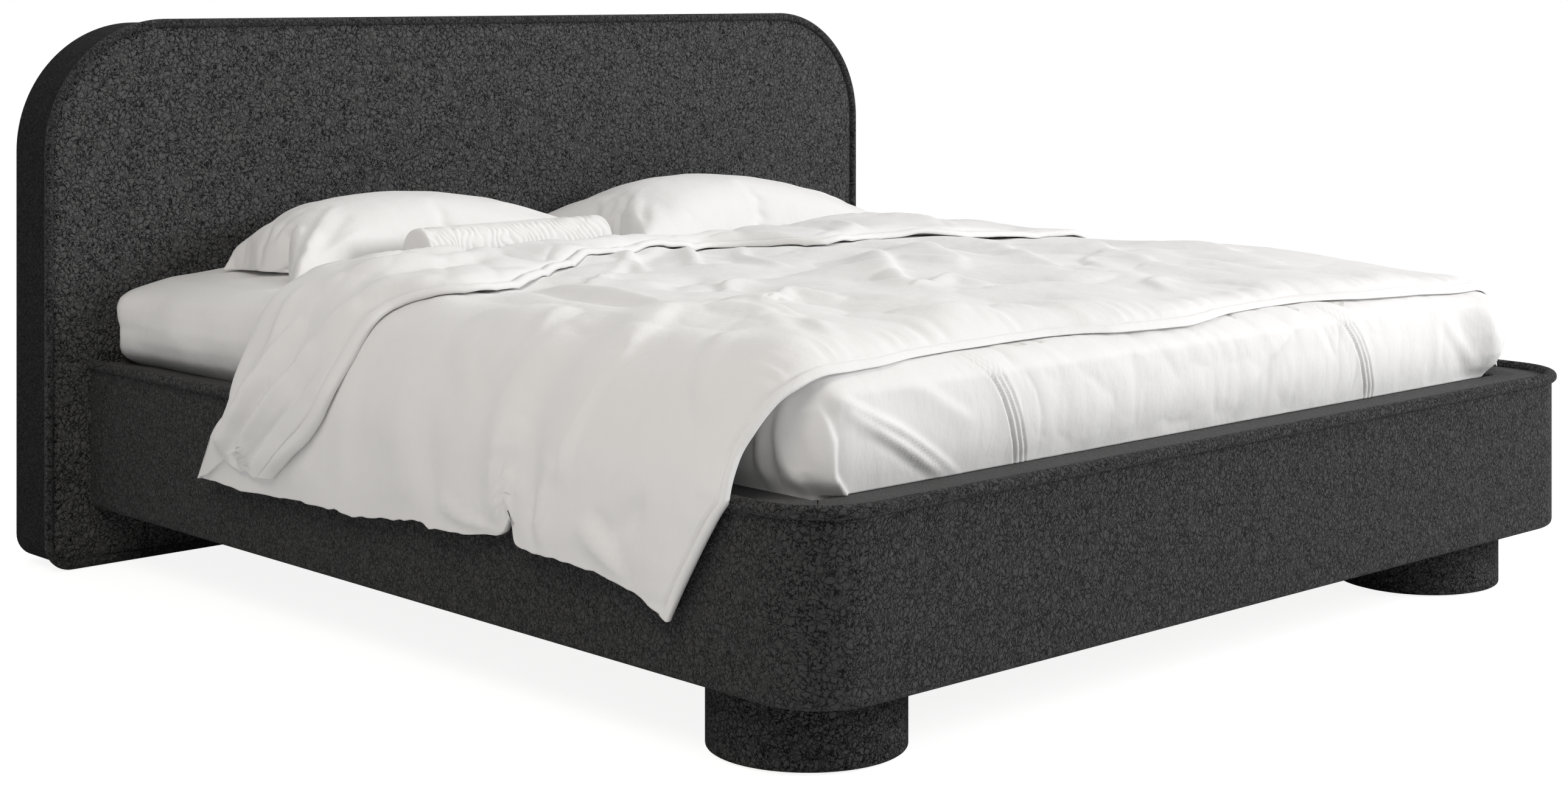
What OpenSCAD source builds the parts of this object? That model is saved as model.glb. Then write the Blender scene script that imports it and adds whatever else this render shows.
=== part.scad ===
// Upholstered double bed with a floor-standing headboard, drum feet and its bedding.
// Millimetres. X runs across the bed, +Y runs to the headboard, +Z is up.
// The origin lies on the floor, in the middle of the bed's plan.

/* [Bed] */
// Width over the outer faces of the side rails
bed_w = 2100; // [1500:5:2300]
// Length from the front of the headboard to the outer face of the foot rail
bed_l = 2138; // [2000:2:2300]
// Height of the rails' underside above the floor
rail_bottom = 122; // [100:1:180]
// Height of the flat rim of the rails
rim_z = 413; // [405:1:440]

/* [Rails] */
// Width of the side rails' rim
side_rim = 114; // [104:1:124]
// Width of the foot rail's rim
foot_rim = 120; // [108:1:130]
// Radius of the two foot corners, in plan
corner_r = 125; // [112:1:150]
// Distance of the joint between side rail and foot rail from the foot face
seam_from_foot = 105; // [102:1:106]
// Thickness of the fabric with its wadding
wrap_t = 6; // [4:0.5:9]
// Thickness of the boards in the rails
ply_t = 18; // [15:1:22]
// Height of the battens between the boards
batten_h = 30; // [20:1:40]
// Radius of the welt on the rim's outer edge
rim_welt_r = 11; // [8:0.5:14]
// How far the rim welt stands out sideways
rim_welt_out = 10; // [4:0.5:13]
// How far the rim welt stands above the rim
rim_welt_up = 13; // [6:0.5:16]

/* [Headboard] */
// Width of the headboard
board_w = 2284; // [2120:2:2500]
// Height of the headboard's top above the floor
board_top = 1110; // [900:5:1400]
// Thickness of the headboard
board_t = 148; // [125:1:200]
// Radius of the top corners
board_top_r = 263; // [150:1:400]
// Radius of the bottom corners
board_low_r = 50; // [20:1:60]
// Gap under the headboard, filled by its glides
board_lift = 10; // [10:1:16]
// Radius of the welt round the headboard's front edge
board_welt_r = 9; // [6:0.5:9.5]
// Thickness of the foam on the front
foam_t = 30; // [15:1:45]
// Thickness of the plywood behind the foam
face_board_t = 9; // [6:1:12]
// Thickness of the hardboard at the back
back_board_t = 5; // [3:1:8]
// Thickness of the lining cloth at the back
back_cloth_t = 2; // [1:0.5:3]
// Width of the cover's hem folded over the back
back_hem = 36; // [20:1:60]
// Width of the frame's outer members
frame_edge = 70; // [50:1:100]
// Width of the frame's studs
stud_w = 60; // [40:1:90]
// Distance between neighbouring studs
stud_pitch = 550; // [400:10:650]
// Lower edge of the frame's cross rail
cross_z = 150; // [120:5:160]
// Height of the frame's cross rail
cross_h = 200; // [180:5:260]
// Diameter of the glides under the headboard
board_glide_d = 40; // [25:1:60]
// Distance between neighbouring glides
board_glide_pitch = 600; // [400:10:650]

/* [Drum feet] */
// Diameter of a drum foot over its fabric
drum_d = 318; // [260:2:340]
// Distance of a drum's centre from the side face
drum_from_side = 205; // [195:1:240]
// Distance of a drum's centre from the foot face
drum_from_foot = 235; // [215:1:270]
// Diameter of the glide disc under a drum
drum_glide_d = 290; // [200:2:300]
// Thickness of the glide disc
drum_glide_t = 5; // [3:0.5:8]
// Gap between the drum's fabric and the floor
drum_hem_gap = 3; // [1.5:0.5:6]
// Thickness of the corner board that a drum is bolted to
corner_board_t = 24; // [18:1:30]
// How far the corner board runs past the drum
corner_board_margin = 20; // [5:1:40]
// Distance between a drum's bolts
drum_bolt_pitch = 100; // [70:1:110]

/* [Slats and support] */
// Width of the side ledgers
ledger_w = 30; // [24:1:40]
// Height of the side ledgers
ledger_h = 45; // [35:1:60]
// Height of the ledgers' top above the floor
ledger_top = 330; // [325:1:340]
// Width of the centre beam
beam_w = 60; // [45:1:66]
// Height of the centre beam
beam_h = 70; // [50:1:90]
// Number of slats on each side
slat_count = 14; // [10:1:18]
// Width of a slat
slat_w = 68; // [50:1:76]
// Thickness of a slat
slat_t = 8; // [6:0.5:10]
// Rise of a slat's bow in its middle
slat_bow = 8; // [4:0.5:9]
// Distance of the outermost slats' centres from the well's ends
slat_margin = 95; // [90:1:120]
// Wall of a slat holder
holder_wall = 3; // [2:0.5:4]
// Floor of a slat holder
holder_base = 4; // [3:0.5:6]
// Depth of a slat holder's pocket
holder_depth = 36; // [28:1:40]
// Diameter of the centre legs
leg_d = 40; // [32:1:50]
// Wall of the centre legs
leg_wall = 3; // [2:0.5:5]
// Height of the centre legs' lower end above the floor
leg_bottom = 45; // [42:1:60]
// Side of the square plate on top of a centre leg
leg_plate = 80; // [64:1:100]
// Thickness of the steel plates and brackets
steel_t = 3; // [2:0.5:5]
// Diameter of the levelling feet's threaded stems
stem_d = 12; // [10:0.5:16]
// Diameter of the levelling feet's pads
pad_d = 50; // [36:1:60]

/* [Fastenings] */
// Diameter of the bolts
bolt_d = 8; // [6:0.5:10]
// Diameter of the wood screws
screw_d = 5; // [4:0.5:6]
// Height of the bracket plates
bracket_h = 110; // [80:1:118]
// Length of the bracket plates' legs
bracket_leg = 100; // [90:1:120]
// Lower edge of the bracket plates
bracket_z = 165; // [160:1:172]

/* [Mattress and sheet] */
// Gap between the mattress and each side rail
mattress_side_gap = 6; // [5:0.5:30]
// Gap between the mattress and each end of the well
mattress_end_gap = 5; // [5:0.5:30]
// Height of the mattress
mattress_h = 246.5; // [200:0.5:300]
// Corner radius of the mattress, in plan
mattress_corner_r = 62; // [50:1:90]
// Radius of the mattress's top edge
mattress_top_r = 36; // [20:1:44]
// Radius of the mattress's lower edge
mattress_low_r = 24; // [12:1:30]
// How far the mattress's sides draw in at mid height
mattress_waist = 3; // [0:0.5:8]
// Thickness of the fitted sheet
sheet_t = 2.5; // [1.5:0.5:3]
// Width of the sheet's hem under the mattress
sheet_hem = 45; // [30:1:50]

/* [Duvet] */
// Thickness of the duvet in its middle
duvet_t = 36; // [20:1:44]
// Thickness of the duvet where it hangs
duvet_side_t = 15; // [12:1:20]
// Thickness of the duvet's sewn edge
duvet_edge_t = 11; // [6:1:12]
// Extra thickness of the turned-down flap
flap_t = 34; // [20:1:44]
// Extra thickness of the flap where it hangs
flap_side_t = 15; // [10:1:20]
// Height of the duvet's hem on the near side
duvet_near_hem = 276; // [240:2:330]
// Height of the duvet's hem on the far side
duvet_far_hem = 418; // [416:1:480]
// Distance of the duvet's foot edge from the foot face
duvet_from_foot = 155; // [140:1:200]
// Distance of the duvet's folded edge from the headboard
duvet_from_head = 604; // [600:1:700]
// Depth of the folds in the hanging side
fold_depth = 6; // [2:0.5:12]

/* [Pillows and bolster] */
// Distance of a pillow's outer end from the mattress's side
pillow_from_side = 123; // [60:1:300]
// Gap between the two pillows
pillow_between = 34; // [20:1:120]
// Depth of a pillow, from the headboard to its front
pillow_l = 460; // [380:5:464]
// Height of a pillow's crown
pillow_h = 146; // [90:1:180]
// Gap between pillow and headboard
pillow_gap = 14; // [5:1:16]
// Diameter of the bolster
bolster_d = 102; // [80:1:104]
// Length of the bolster
bolster_l = 470; // [300:5:700]
// Distance of the bolster's axis from the headboard
bolster_from_head = 542; // [540:1:546]
// Distance of the bolster's centre from the centre line
bolster_x = -390; // [-500:5:500]
// Number of pleats round the bolster
pleats = 20; // [8:1:24]

/* [Hidden] */

$fn = 64;
// Gap between pieces that seat on each other
clear = 0.3;
// Gap of the levelling stem in its nut
stem_clear = 0.08;
// Overrun of a cut past the face that it opens
cut = 1;
// A length past every edge of the bed
far = 3000;

bed_depth = bed_l + rim_welt_out + board_t;
head_y = bed_depth / 2 - board_t;
foot_y = head_y - bed_l;
seam_y = foot_y + seam_from_foot;
well_x = bed_w / 2 - side_rim;
well_y = foot_y + foot_rim;
rim_welt_in = rim_welt_r - rim_welt_out;
rim_welt_z = rim_z + rim_welt_up - rim_welt_r;

board_back_y = head_y + board_t;
foam_y = head_y + wrap_t;
face_board_y = foam_y + foam_t;
frame_y = face_board_y + face_board_t;
hem_y = board_back_y - 2 * back_cloth_t;
back_board_y = hem_y - back_board_t;
frame_t = back_board_y - frame_y;

drum_r = drum_d / 2;
drum_x = bed_w / 2 - drum_from_side;
drum_y = foot_y + drum_from_foot;
corner_board_x = drum_from_side - side_rim + drum_r + corner_board_margin;
corner_board_y = drum_from_foot - foot_rim + drum_r + corner_board_margin;

// Proportions of the fastenings and how far they run into what they hold
bolt_head_r_share = 0.85;
bolt_head_h_share = 0.65;
screw_head_h_share = 0.6;
bolt_tail = 10;
board_bolt_grip = 12;
bracket_bolt_shares = [0.45, 0.8];
screw_bite = 0.7;
ledger_screw_pitch = 350;
ledger_screw_count = 6;
leg_screw_reach = 30;
leg_screw_edge = 10;
beam_screw_edge = 8;
drum_bolt_depth = 60;

// Bolts and screws: radii of shank, bore and head, and height of the head
bolt_r = bolt_d / 2;
bolt_bore_r = bolt_r + clear;
bolt_head_r = bolt_head_r_share * bolt_d;
bolt_head_h = bolt_head_h_share * bolt_d;
screw_r = screw_d / 2;
screw_bore_r = screw_r + clear;
screw_head_r = screw_d;
screw_head_h = screw_head_h_share * screw_d;
bolt_reach = steel_t + wrap_t + ply_t + bolt_tail;
board_bolt_reach = steel_t + wrap_t + foam_t + face_board_t + board_bolt_grip;
bracket_bolt_z = bracket_z + bracket_h / 2;
bracket_bolt_steps = [for (share = bracket_bolt_shares) share * bracket_leg];
ledger_screw_reach = ledger_w + wrap_t + screw_bite * ply_t;
ledger_screw_z = ledger_top - ledger_h / 2;
ledger_screw_steps = [for (i = [0:ledger_screw_count - 1]) i - (ledger_screw_count - 1) / 2];
leg_screw_x = min(leg_plate / 2 - leg_screw_edge, beam_w / 2 - beam_screw_edge);
leg_screw_y = leg_plate / 2 - leg_screw_edge;

// Centre beam and its shoes
beam_top = ledger_top;
beam_bottom = beam_top - beam_h;
shoe_depth = 50;
shoe_flange = 30;
shoe_plate_w = beam_w + 2 * shoe_flange;
shoe_plate_low = 20;
shoe_bolt_out = 18;
shoe_bolt_down = 40;
shoe_bolt_x = beam_w / 2 + shoe_bolt_out;
shoe_bolt_z = beam_top - shoe_bolt_down;
beam_y0 = well_y + steel_t;
beam_y1 = head_y - steel_t;
leg_y_front = beam_y0 + (beam_y1 - beam_y0) / 3;
leg_y_rear = beam_y1 - (beam_y1 - beam_y0) / 3;
nut_h = 20;

// Slats: an outer end in its holder, an inner end beside the centre web
slat_z = ledger_top + holder_base;
slat_x0 = holder_wall / 2 + clear;
slat_x1 = well_x - holder_wall - clear;
slat_y0 = well_y + slat_margin;
slat_pitch = (head_y - slat_margin - slat_y0) / (slat_count - 1);
slat_steps = 6;
holder_w = slat_w + 2 * holder_wall + 2 * clear;
holder_h = holder_base + slat_t + clear + holder_wall;
crown_z = slat_z + slat_t + slat_bow;

// Bedding: the mattress fills the well, and the two pillows share its width
mattress_w = 2 * (well_x - mattress_side_gap);
mattress_l = head_y - well_y - 2 * mattress_end_gap;
pillow_w = mattress_w / 2 - pillow_from_side - pillow_between / 2;
pillow_x = (pillow_between + pillow_w) / 2;
mattress_z = crown_z + clear;
mattress_top = mattress_z + mattress_h;
mattress_y = (well_y + head_y) / 2;
bed_z = mattress_top + clear + sheet_t;
rest_z = bed_z + clear;

// Frame of the headboard

// Outline of the headboard seen from the front, drawn in by the given inset
module board_outline(inset) {
    half = board_w / 2;
    low = max(inset, board_low_r);
    low_z = board_lift + low;
    shoulder_z = board_top - board_top_r;
    translate([-half + inset, low_z])
        square([board_w - 2 * inset, shoulder_z - low_z]);
    translate([-half + low, board_lift + inset])
        square([board_w - 2 * low, shoulder_z - board_lift - inset]);
    translate([-half + board_top_r, shoulder_z - cut])
        square([board_w - 2 * board_top_r, board_top_r - inset + cut]);
    for (s = [-1, 1]) {
        translate([s * (half - board_top_r), shoulder_z])
            circle(board_top_r - inset, $fn = 96);
        if (inset < board_low_r)
            translate([s * (half - board_low_r), board_lift + board_low_r])
                circle(board_low_r - inset);
    }
}

// A slab that stands upright, from y0 to y0 + t
module upright(y0, t) {
    translate([0, y0 + t, 0])
        rotate([90, 0, 0])
            linear_extrude(t)
                children();
}

// The bolts that enter the headboard: two a bracket and two at the beam's shoe
module board_bolt_places() {
    for (s = [-1, 1]) {
        for (step = bracket_bolt_steps)
            translate([s * (well_x - step), beam_y1, bracket_bolt_z])
                rotate([-90, 0, 0])
                    children();
        translate([s * shoe_bolt_x, beam_y1, shoe_bolt_z])
            rotate([-90, 0, 0])
                children();
    }
}

module board_bores() {
    board_bolt_places()
        cylinder(h = board_bolt_reach + cut, r = bolt_bore_r);
}

// Timber frame: a ring, a broad cross rail for the brackets, and studs above it
module headboard_frame() {
    color("#c9a878")
        difference() {
            upright(frame_y, frame_t)
                difference() {
                    board_outline(wrap_t);
                    difference() {
                        board_outline(wrap_t + frame_edge);
                        translate([-far / 2, cross_z])
                            square([far, cross_h]);
                        for (i = [-1:1])
                            translate([i * stud_pitch - stud_w / 2, cross_z])
                                square([stud_w, board_top]);
                    }
                }
            board_bores();
        }
}

module headboard_face_board() {
    color("#d6bd92")
        difference() {
            upright(face_board_y, face_board_t)
                board_outline(wrap_t);
            board_bores();
        }
}

module headboard_foam() {
    color("#e6dfb4")
        difference() {
            upright(foam_y, foam_t)
                board_outline(wrap_t);
            board_welt(board_welt_r + clear);
            board_bores();
        }
}

module headboard_back_board() {
    color("#8a6a48")
        upright(back_board_y, back_board_t)
            board_outline(wrap_t);
}

// Looped fabric over the front, sewn to the band through the welt
module headboard_front_cover() {
    color("#4a4a4c")
        difference() {
            upright(head_y, wrap_t)
                board_outline(0);
            board_welt(board_welt_r + clear);
            board_bores();
        }
}

// Fabric band round the edges, with a hem folded over the back
module headboard_band() {
    color("#343436")
        difference() {
            upright(foam_y, board_back_y - back_cloth_t - foam_y)
                board_outline(0);
            upright(foam_y - cut, hem_y - foam_y + cut)
                board_outline(wrap_t);
            upright(hem_y - cut, back_cloth_t + 2 * cut)
                board_outline(back_hem);
            board_welt(board_welt_r + clear);
        }
}

module headboard_back_cloth() {
    color("#2c2c2e")
        upright(board_back_y - back_cloth_t, back_cloth_t)
            board_outline(back_hem / 2);
}

// A round bar along the headboard's front edge
module board_welt(r) {
    half = board_w / 2;
    side_h = board_top - board_top_r - board_lift - board_low_r;
    translate([0, head_y, 0]) {
        for (s = [-1, 1]) {
            translate([s * half, 0, board_lift + board_low_r])
                cylinder(h = side_h, r = r, $fn = 32);
            translate([s * (half - board_top_r), 0, board_top - board_top_r])
                rotate([90, s > 0 ? 0 : -90, 0])
                    rotate_extrude(angle = 90, $fn = 96)
                        translate([board_top_r, 0])
                            circle(r, $fn = 32);
            translate([s * (half - board_low_r), 0, board_lift + board_low_r])
                rotate([90, s > 0 ? 90 : 180, 0])
                    rotate_extrude(angle = 90)
                        translate([board_low_r, 0])
                            circle(r, $fn = 32);
        }
        translate([-half + board_top_r, 0, board_top])
            rotate([0, 90, 0])
                cylinder(h = board_w - 2 * board_top_r, r = r, $fn = 32);
        translate([-half + board_low_r, 0, board_lift])
            rotate([0, 90, 0])
                cylinder(h = board_w - 2 * board_low_r, r = r, $fn = 32);
    }
}

module headboard_welt() {
    color("#3a3a3c")
        board_welt(board_welt_r);
}

module headboard_glides() {
    color("#1c1c1c")
        for (i = [-1.5:1:1.5])
            translate([i * board_glide_pitch, head_y + board_t / 2, 0])
                cylinder(h = board_lift, d = board_glide_d);
}

// Rails

// Plan of the three rails with their well filled, drawn in by the given inset
module rail_plan(inset) {
    half = bed_w / 2;
    translate([-half + inset, foot_y + corner_r])
        square([bed_w - 2 * inset, bed_l - corner_r]);
    translate([-half + corner_r, foot_y + inset])
        square([bed_w - 2 * corner_r, corner_r]);
    for (s = [-1, 1])
        translate([s * (half - corner_r), foot_y + corner_r])
            circle(corner_r - inset, $fn = 96);
}

// The rails as one solid U, drawn in on every face but the headboard end
module rail_solid(inset) {
    difference() {
        translate([0, 0, rail_bottom + inset])
            linear_extrude(rim_z - rail_bottom - 2 * inset)
                rail_plan(inset);
        translate([-well_x - inset, well_y - inset, -cut])
            cube([2 * (well_x + inset), bed_l, rim_z + 2 * cut]);
    }
}

// The space of one side rail: -1 is the left one, 1 the right one
module side_space(s) {
    translate([s > 0 ? well_x : -far, seam_y, -far / 2])
        cube([far - well_x, far, far]);
}

// A round bar along the rim's outer edge
module rim_welt(r) {
    half = bed_w / 2;
    translate([0, 0, rim_welt_z]) {
        for (s = [-1, 1]) {
            translate([s * (half - rim_welt_in), foot_y + corner_r, 0])
                rotate([-90, 0, 0])
                    cylinder(h = bed_l - corner_r, r = r, $fn = 32);
            translate([s * (half - corner_r), foot_y + corner_r, 0])
                rotate([0, 0, s > 0 ? -90 : 180])
                    rotate_extrude(angle = 90, $fn = 96)
                        translate([corner_r - rim_welt_in, 0])
                            circle(r, $fn = 32);
        }
        translate([-half + corner_r, foot_y + rim_welt_in, 0])
            rotate([0, 90, 0])
                cylinder(h = bed_w - 2 * corner_r, r = r, $fn = 32);
    }
}

// The bolts that enter a side rail, and the screws that hold its ledger
module side_bolt_places(s) {
    for (y = [for (step = bracket_bolt_steps) for (p = [well_y + step, head_y - step]) p])
        translate([s * (well_x - steel_t), y, bracket_bolt_z])
            rotate([0, s * 90, 0])
                children();
}

module ledger_screw_places(s) {
    for (i = ledger_screw_steps)
        translate([s * (well_x - ledger_w), mattress_y + i * ledger_screw_pitch, ledger_screw_z])
            rotate([0, s * 90, 0])
                children();
}

module side_bores(s) {
    side_bolt_places(s)
        cylinder(h = bolt_reach + cut, r = bolt_bore_r);
    ledger_screw_places(s)
        cylinder(h = ledger_screw_reach + cut, r = screw_bore_r);
}

// Cross-section of a hollow rail: two boards with three battens between them
module rail_section(w) {
    h = rim_z - rail_bottom - 2 * wrap_t;
    bay_w = w - 2 * ply_t;
    bay_h = (h - 3 * batten_h) / 2;
    difference() {
        square([w, h]);
        for (z = [batten_h, 2 * batten_h + bay_h])
            translate([ply_t, z])
                square([bay_w, bay_h]);
    }
}

module side_rail_core(s) {
    w = side_rim - 2 * wrap_t;
    color("#d6bd92")
        difference() {
            intersection() {
                translate([s * (well_x + wrap_t + w / 2) - w / 2, head_y, rail_bottom + wrap_t])
                    rotate([90, 0, 0])
                        linear_extrude(head_y - seam_y)
                            rail_section(w);
                translate([0, 0, rail_bottom])
                    linear_extrude(rim_z - rail_bottom)
                        rail_plan(wrap_t);
            }
            rim_welt(rim_welt_r + clear);
            side_bores(s);
        }
}

module side_rail_core_left() {
    side_rail_core(-1);
}

module side_rail_core_right() {
    side_rail_core(1);
}

// Padded fabric round a side rail, open at both ends
module side_rail_cover(s) {
    color("#39393b")
        difference() {
            intersection() {
                rail_solid(0);
                side_space(s);
            }
            rail_solid(wrap_t);
            rim_welt(rim_welt_r + clear);
            side_bores(s);
        }
}

module side_rail_cover_left() {
    side_rail_cover(-1);
}

module side_rail_cover_right() {
    side_rail_cover(1);
}

module side_rail_welt(s) {
    color("#3a3a3c")
        intersection() {
            rim_welt(rim_welt_r);
            side_space(s);
        }
}

module side_rail_welt_left() {
    side_rail_welt(-1);
}

module side_rail_welt_right() {
    side_rail_welt(1);
}

// The bolts that enter the foot rail
module foot_bolt_places() {
    for (s = [-1, 1]) {
        for (step = bracket_bolt_steps)
            translate([s * (well_x - step), beam_y0, bracket_bolt_z])
                rotate([90, 0, 0])
                    children();
        translate([s * shoe_bolt_x, beam_y0, shoe_bolt_z])
            rotate([90, 0, 0])
                children();
    }
}

module foot_bores() {
    foot_bolt_places()
        cylinder(h = bolt_reach + cut, r = bolt_bore_r);
}

// How far a corner block runs past the round of its corner
block_lap = 13;
block_x = bed_w / 2 - corner_r - block_lap;

// Straight hollow part of the foot rail, between the corner blocks
module foot_rail_core() {
    color("#d6bd92")
        difference() {
            translate([-block_x, foot_y + wrap_t, rail_bottom + wrap_t])
                rotate([90, 0, 90])
                    linear_extrude(2 * block_x)
                        rail_section(foot_rim - 2 * wrap_t);
            rim_welt(rim_welt_r + clear);
            foot_bores();
        }
}

// Solid block that gives a foot corner its round
module corner_block(s) {
    color("#c9a878")
        difference() {
            intersection() {
                translate([0, 0, rail_bottom + wrap_t])
                    linear_extrude(rim_z - rail_bottom - 2 * wrap_t)
                        rail_plan(wrap_t);
                translate([s > 0 ? block_x : -far, -far + seam_y, 0])
                    cube([far - block_x, far, far]);
            }
            rim_welt(rim_welt_r + clear);
        }
}

module corner_block_left() {
    corner_block(-1);
}

module corner_block_right() {
    corner_block(1);
}

module foot_rail_cover() {
    color("#434345")
        difference() {
            rail_solid(0);
            side_space(-1);
            side_space(1);
            rail_solid(wrap_t);
            rim_welt(rim_welt_r + clear);
            foot_bores();
        }
}

module foot_rail_welt() {
    color("#444446")
        difference() {
            rim_welt(rim_welt_r);
            side_space(-1);
            side_space(1);
        }
}

// Drum feet

module drum_bolt_places(s) {
    for (i = [-1, 1])
        for (j = [-1, 1])
            translate([
                s * drum_x + i * drum_bolt_pitch / 2,
                drum_y + j * drum_bolt_pitch / 2,
                rail_bottom + corner_board_t
            ])
                children();
}

module drum_bores(s) {
    drum_bolt_places(s)
        translate([0, 0, -drum_bolt_depth - corner_board_t - cut])
            cylinder(h = drum_bolt_depth + corner_board_t + 2 * cut, r = bolt_bore_r);
}

// Board in a foot corner of the well, cut across its free corner
module corner_board(s) {
    color("#d6bd92")
        difference() {
            translate([0, 0, rail_bottom])
                linear_extrude(corner_board_t)
                    polygon([
                        [s * well_x, well_y],
                        [s * (well_x - corner_board_x), well_y],
                        [s * (well_x - corner_board_x), well_y + corner_board_y / 2],
                        [s * (well_x - corner_board_x / 2), well_y + corner_board_y],
                        [s * well_x, well_y + corner_board_y]
                    ]);
            drum_bores(s);
        }
}

module corner_board_left() {
    corner_board(-1);
}

module corner_board_right() {
    corner_board(1);
}

module drum_core(s) {
    color("#c9a878")
        difference() {
            translate([s * drum_x, drum_y, drum_glide_t])
                cylinder(h = rail_bottom - drum_glide_t, r = drum_r - wrap_t - clear, $fn = 96);
            drum_bores(s);
        }
}

module drum_core_left() {
    drum_core(-1);
}

module drum_core_right() {
    drum_core(1);
}

module drum_cover(s) {
    color("#39393b")
        translate([s * drum_x, drum_y, drum_hem_gap])
            difference() {
                cylinder(h = rail_bottom - drum_hem_gap, r = drum_r, $fn = 96);
                translate([0, 0, -cut])
                    cylinder(h = rail_bottom + cut, r = drum_r - wrap_t, $fn = 96);
            }
}

module drum_cover_left() {
    drum_cover(-1);
}

module drum_cover_right() {
    drum_cover(1);
}

module drum_glide(s) {
    color("#1c1c1c")
        translate([s * drum_x, drum_y, 0])
            cylinder(h = drum_glide_t, d = drum_glide_d, $fn = 96);
}

module drum_glide_left() {
    drum_glide(-1);
}

module drum_glide_right() {
    drum_glide(1);
}

// A bolt with a hexagon head, its shank running up from the origin
module bolt(reach) {
    cylinder(h = reach, r = bolt_r, $fn = 24);
    translate([0, 0, -bolt_head_h])
        cylinder(h = bolt_head_h, r = bolt_head_r, $fn = 6);
}

// A screw with a round head, its shank running up from the origin
module screw(reach) {
    cylinder(h = reach, r = screw_r, $fn = 24);
    translate([0, 0, -screw_head_h])
        cylinder(h = screw_head_h, r = screw_head_r, $fn = 24);
}

module drum_bolts() {
    color("#9a9ca0")
        for (s = [-1, 1])
            drum_bolt_places(s)
                rotate([180, 0, 0])
                    bolt(drum_bolt_depth + corner_board_t);
}

// Steel brackets

// Angle plate in a corner of the well: end 1 is the headboard end, -1 the foot end
module bracket(s, end) {
    corner_y = end > 0 ? head_y : well_y;
    color("#8d8f93")
        difference() {
            translate([s * well_x, corner_y, bracket_z])
                mirror([s > 0 ? 1 : 0, 0, 0])
                    mirror([0, end > 0 ? 1 : 0, 0])
                        linear_extrude(bracket_h)
                            polygon([
                                [0, 0],
                                [bracket_leg, 0],
                                [bracket_leg, steel_t],
                                [steel_t, steel_t],
                                [steel_t, bracket_leg],
                                [0, bracket_leg]
                            ]);
            side_bores(s);
            if (end > 0)
                translate([0, -cut, 0])
                    board_bores();
            else
                translate([0, cut, 0])
                    foot_bores();
            translate([-s * cut, 0, 0])
                side_bores(s);
        }
}

module bracket_head_left() {
    bracket(-1, 1);
}

module bracket_head_right() {
    bracket(1, 1);
}

module bracket_foot_left() {
    bracket(-1, -1);
}

module bracket_foot_right() {
    bracket(1, -1);
}

module bracket_bolts() {
    color("#9a9ca0") {
        for (s = [-1, 1]) {
            side_bolt_places(s)
                bolt(bolt_reach);
            for (step = bracket_bolt_steps) {
                translate([s * (well_x - step), beam_y1, bracket_bolt_z])
                    rotate([-90, 0, 0])
                        bolt(board_bolt_reach);
                translate([s * (well_x - step), beam_y0, bracket_bolt_z])
                    rotate([90, 0, 0])
                        bolt(bolt_reach);
            }
        }
    }
}

// Slat support

module slat_ledger(s) {
    color("#d2b183")
        difference() {
            translate([s > 0 ? well_x - ledger_w : -well_x, well_y, ledger_top - ledger_h])
                cube([ledger_w, head_y - well_y, ledger_h]);
            translate([-s * cut, 0, 0])
                side_bores(s);
        }
}

module slat_ledger_left() {
    slat_ledger(-1);
}

module slat_ledger_right() {
    slat_ledger(1);
}

module ledger_screws() {
    color("#b8a46a")
        for (s = [-1, 1])
            ledger_screw_places(s)
                screw(ledger_screw_reach);
}

module leg_screw_places(y) {
    for (i = [-1, 1])
        for (j = [-1, 1])
            translate([i * leg_screw_x, y + j * leg_screw_y, beam_bottom - steel_t])
                children();
}

module centre_beam() {
    color("#d2b183")
        difference() {
            translate([-beam_w / 2, beam_y0, beam_bottom])
                cube([beam_w, beam_y1 - beam_y0, beam_h]);
            for (y = [leg_y_front, leg_y_rear])
                leg_screw_places(y)
                    cylinder(h = leg_screw_reach + cut, r = screw_bore_r);
        }
}

// Steel shoe that carries one end of the beam, on a plate at the rail or headboard
module beam_shoe(end) {
    face_y = end > 0 ? head_y : well_y;
    inner_w = beam_w + 2 * clear;
    outer_w = inner_w + 2 * steel_t;
    color("#8d8f93")
        difference() {
            translate([0, face_y, 0])
                mirror([0, end > 0 ? 1 : 0, 0]) {
                    translate([-shoe_plate_w / 2, 0, beam_bottom - shoe_plate_low])
                        cube([shoe_plate_w, steel_t, beam_h + shoe_plate_low]);
                    difference() {
                        translate([-outer_w / 2, 0, beam_bottom - clear - steel_t])
                            cube([outer_w, shoe_depth, beam_h + steel_t]);
                        translate([-inner_w / 2, steel_t, beam_bottom - clear])
                            cube([inner_w, shoe_depth, beam_h + 2 * steel_t]);
                    }
                }
            if (end > 0)
                translate([0, -cut, 0])
                    board_bores();
            else
                translate([0, cut, 0])
                    foot_bores();
        }
}

module beam_shoe_head() {
    beam_shoe(1);
}

module beam_shoe_foot() {
    beam_shoe(-1);
}

module beam_bolts() {
    color("#9a9ca0")
        for (s = [-1, 1]) {
            translate([s * shoe_bolt_x, beam_y1, shoe_bolt_z])
                rotate([-90, 0, 0])
                    bolt(board_bolt_reach);
            translate([s * shoe_bolt_x, beam_y0, shoe_bolt_z])
                rotate([90, 0, 0])
                    bolt(bolt_reach);
        }
}

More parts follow.
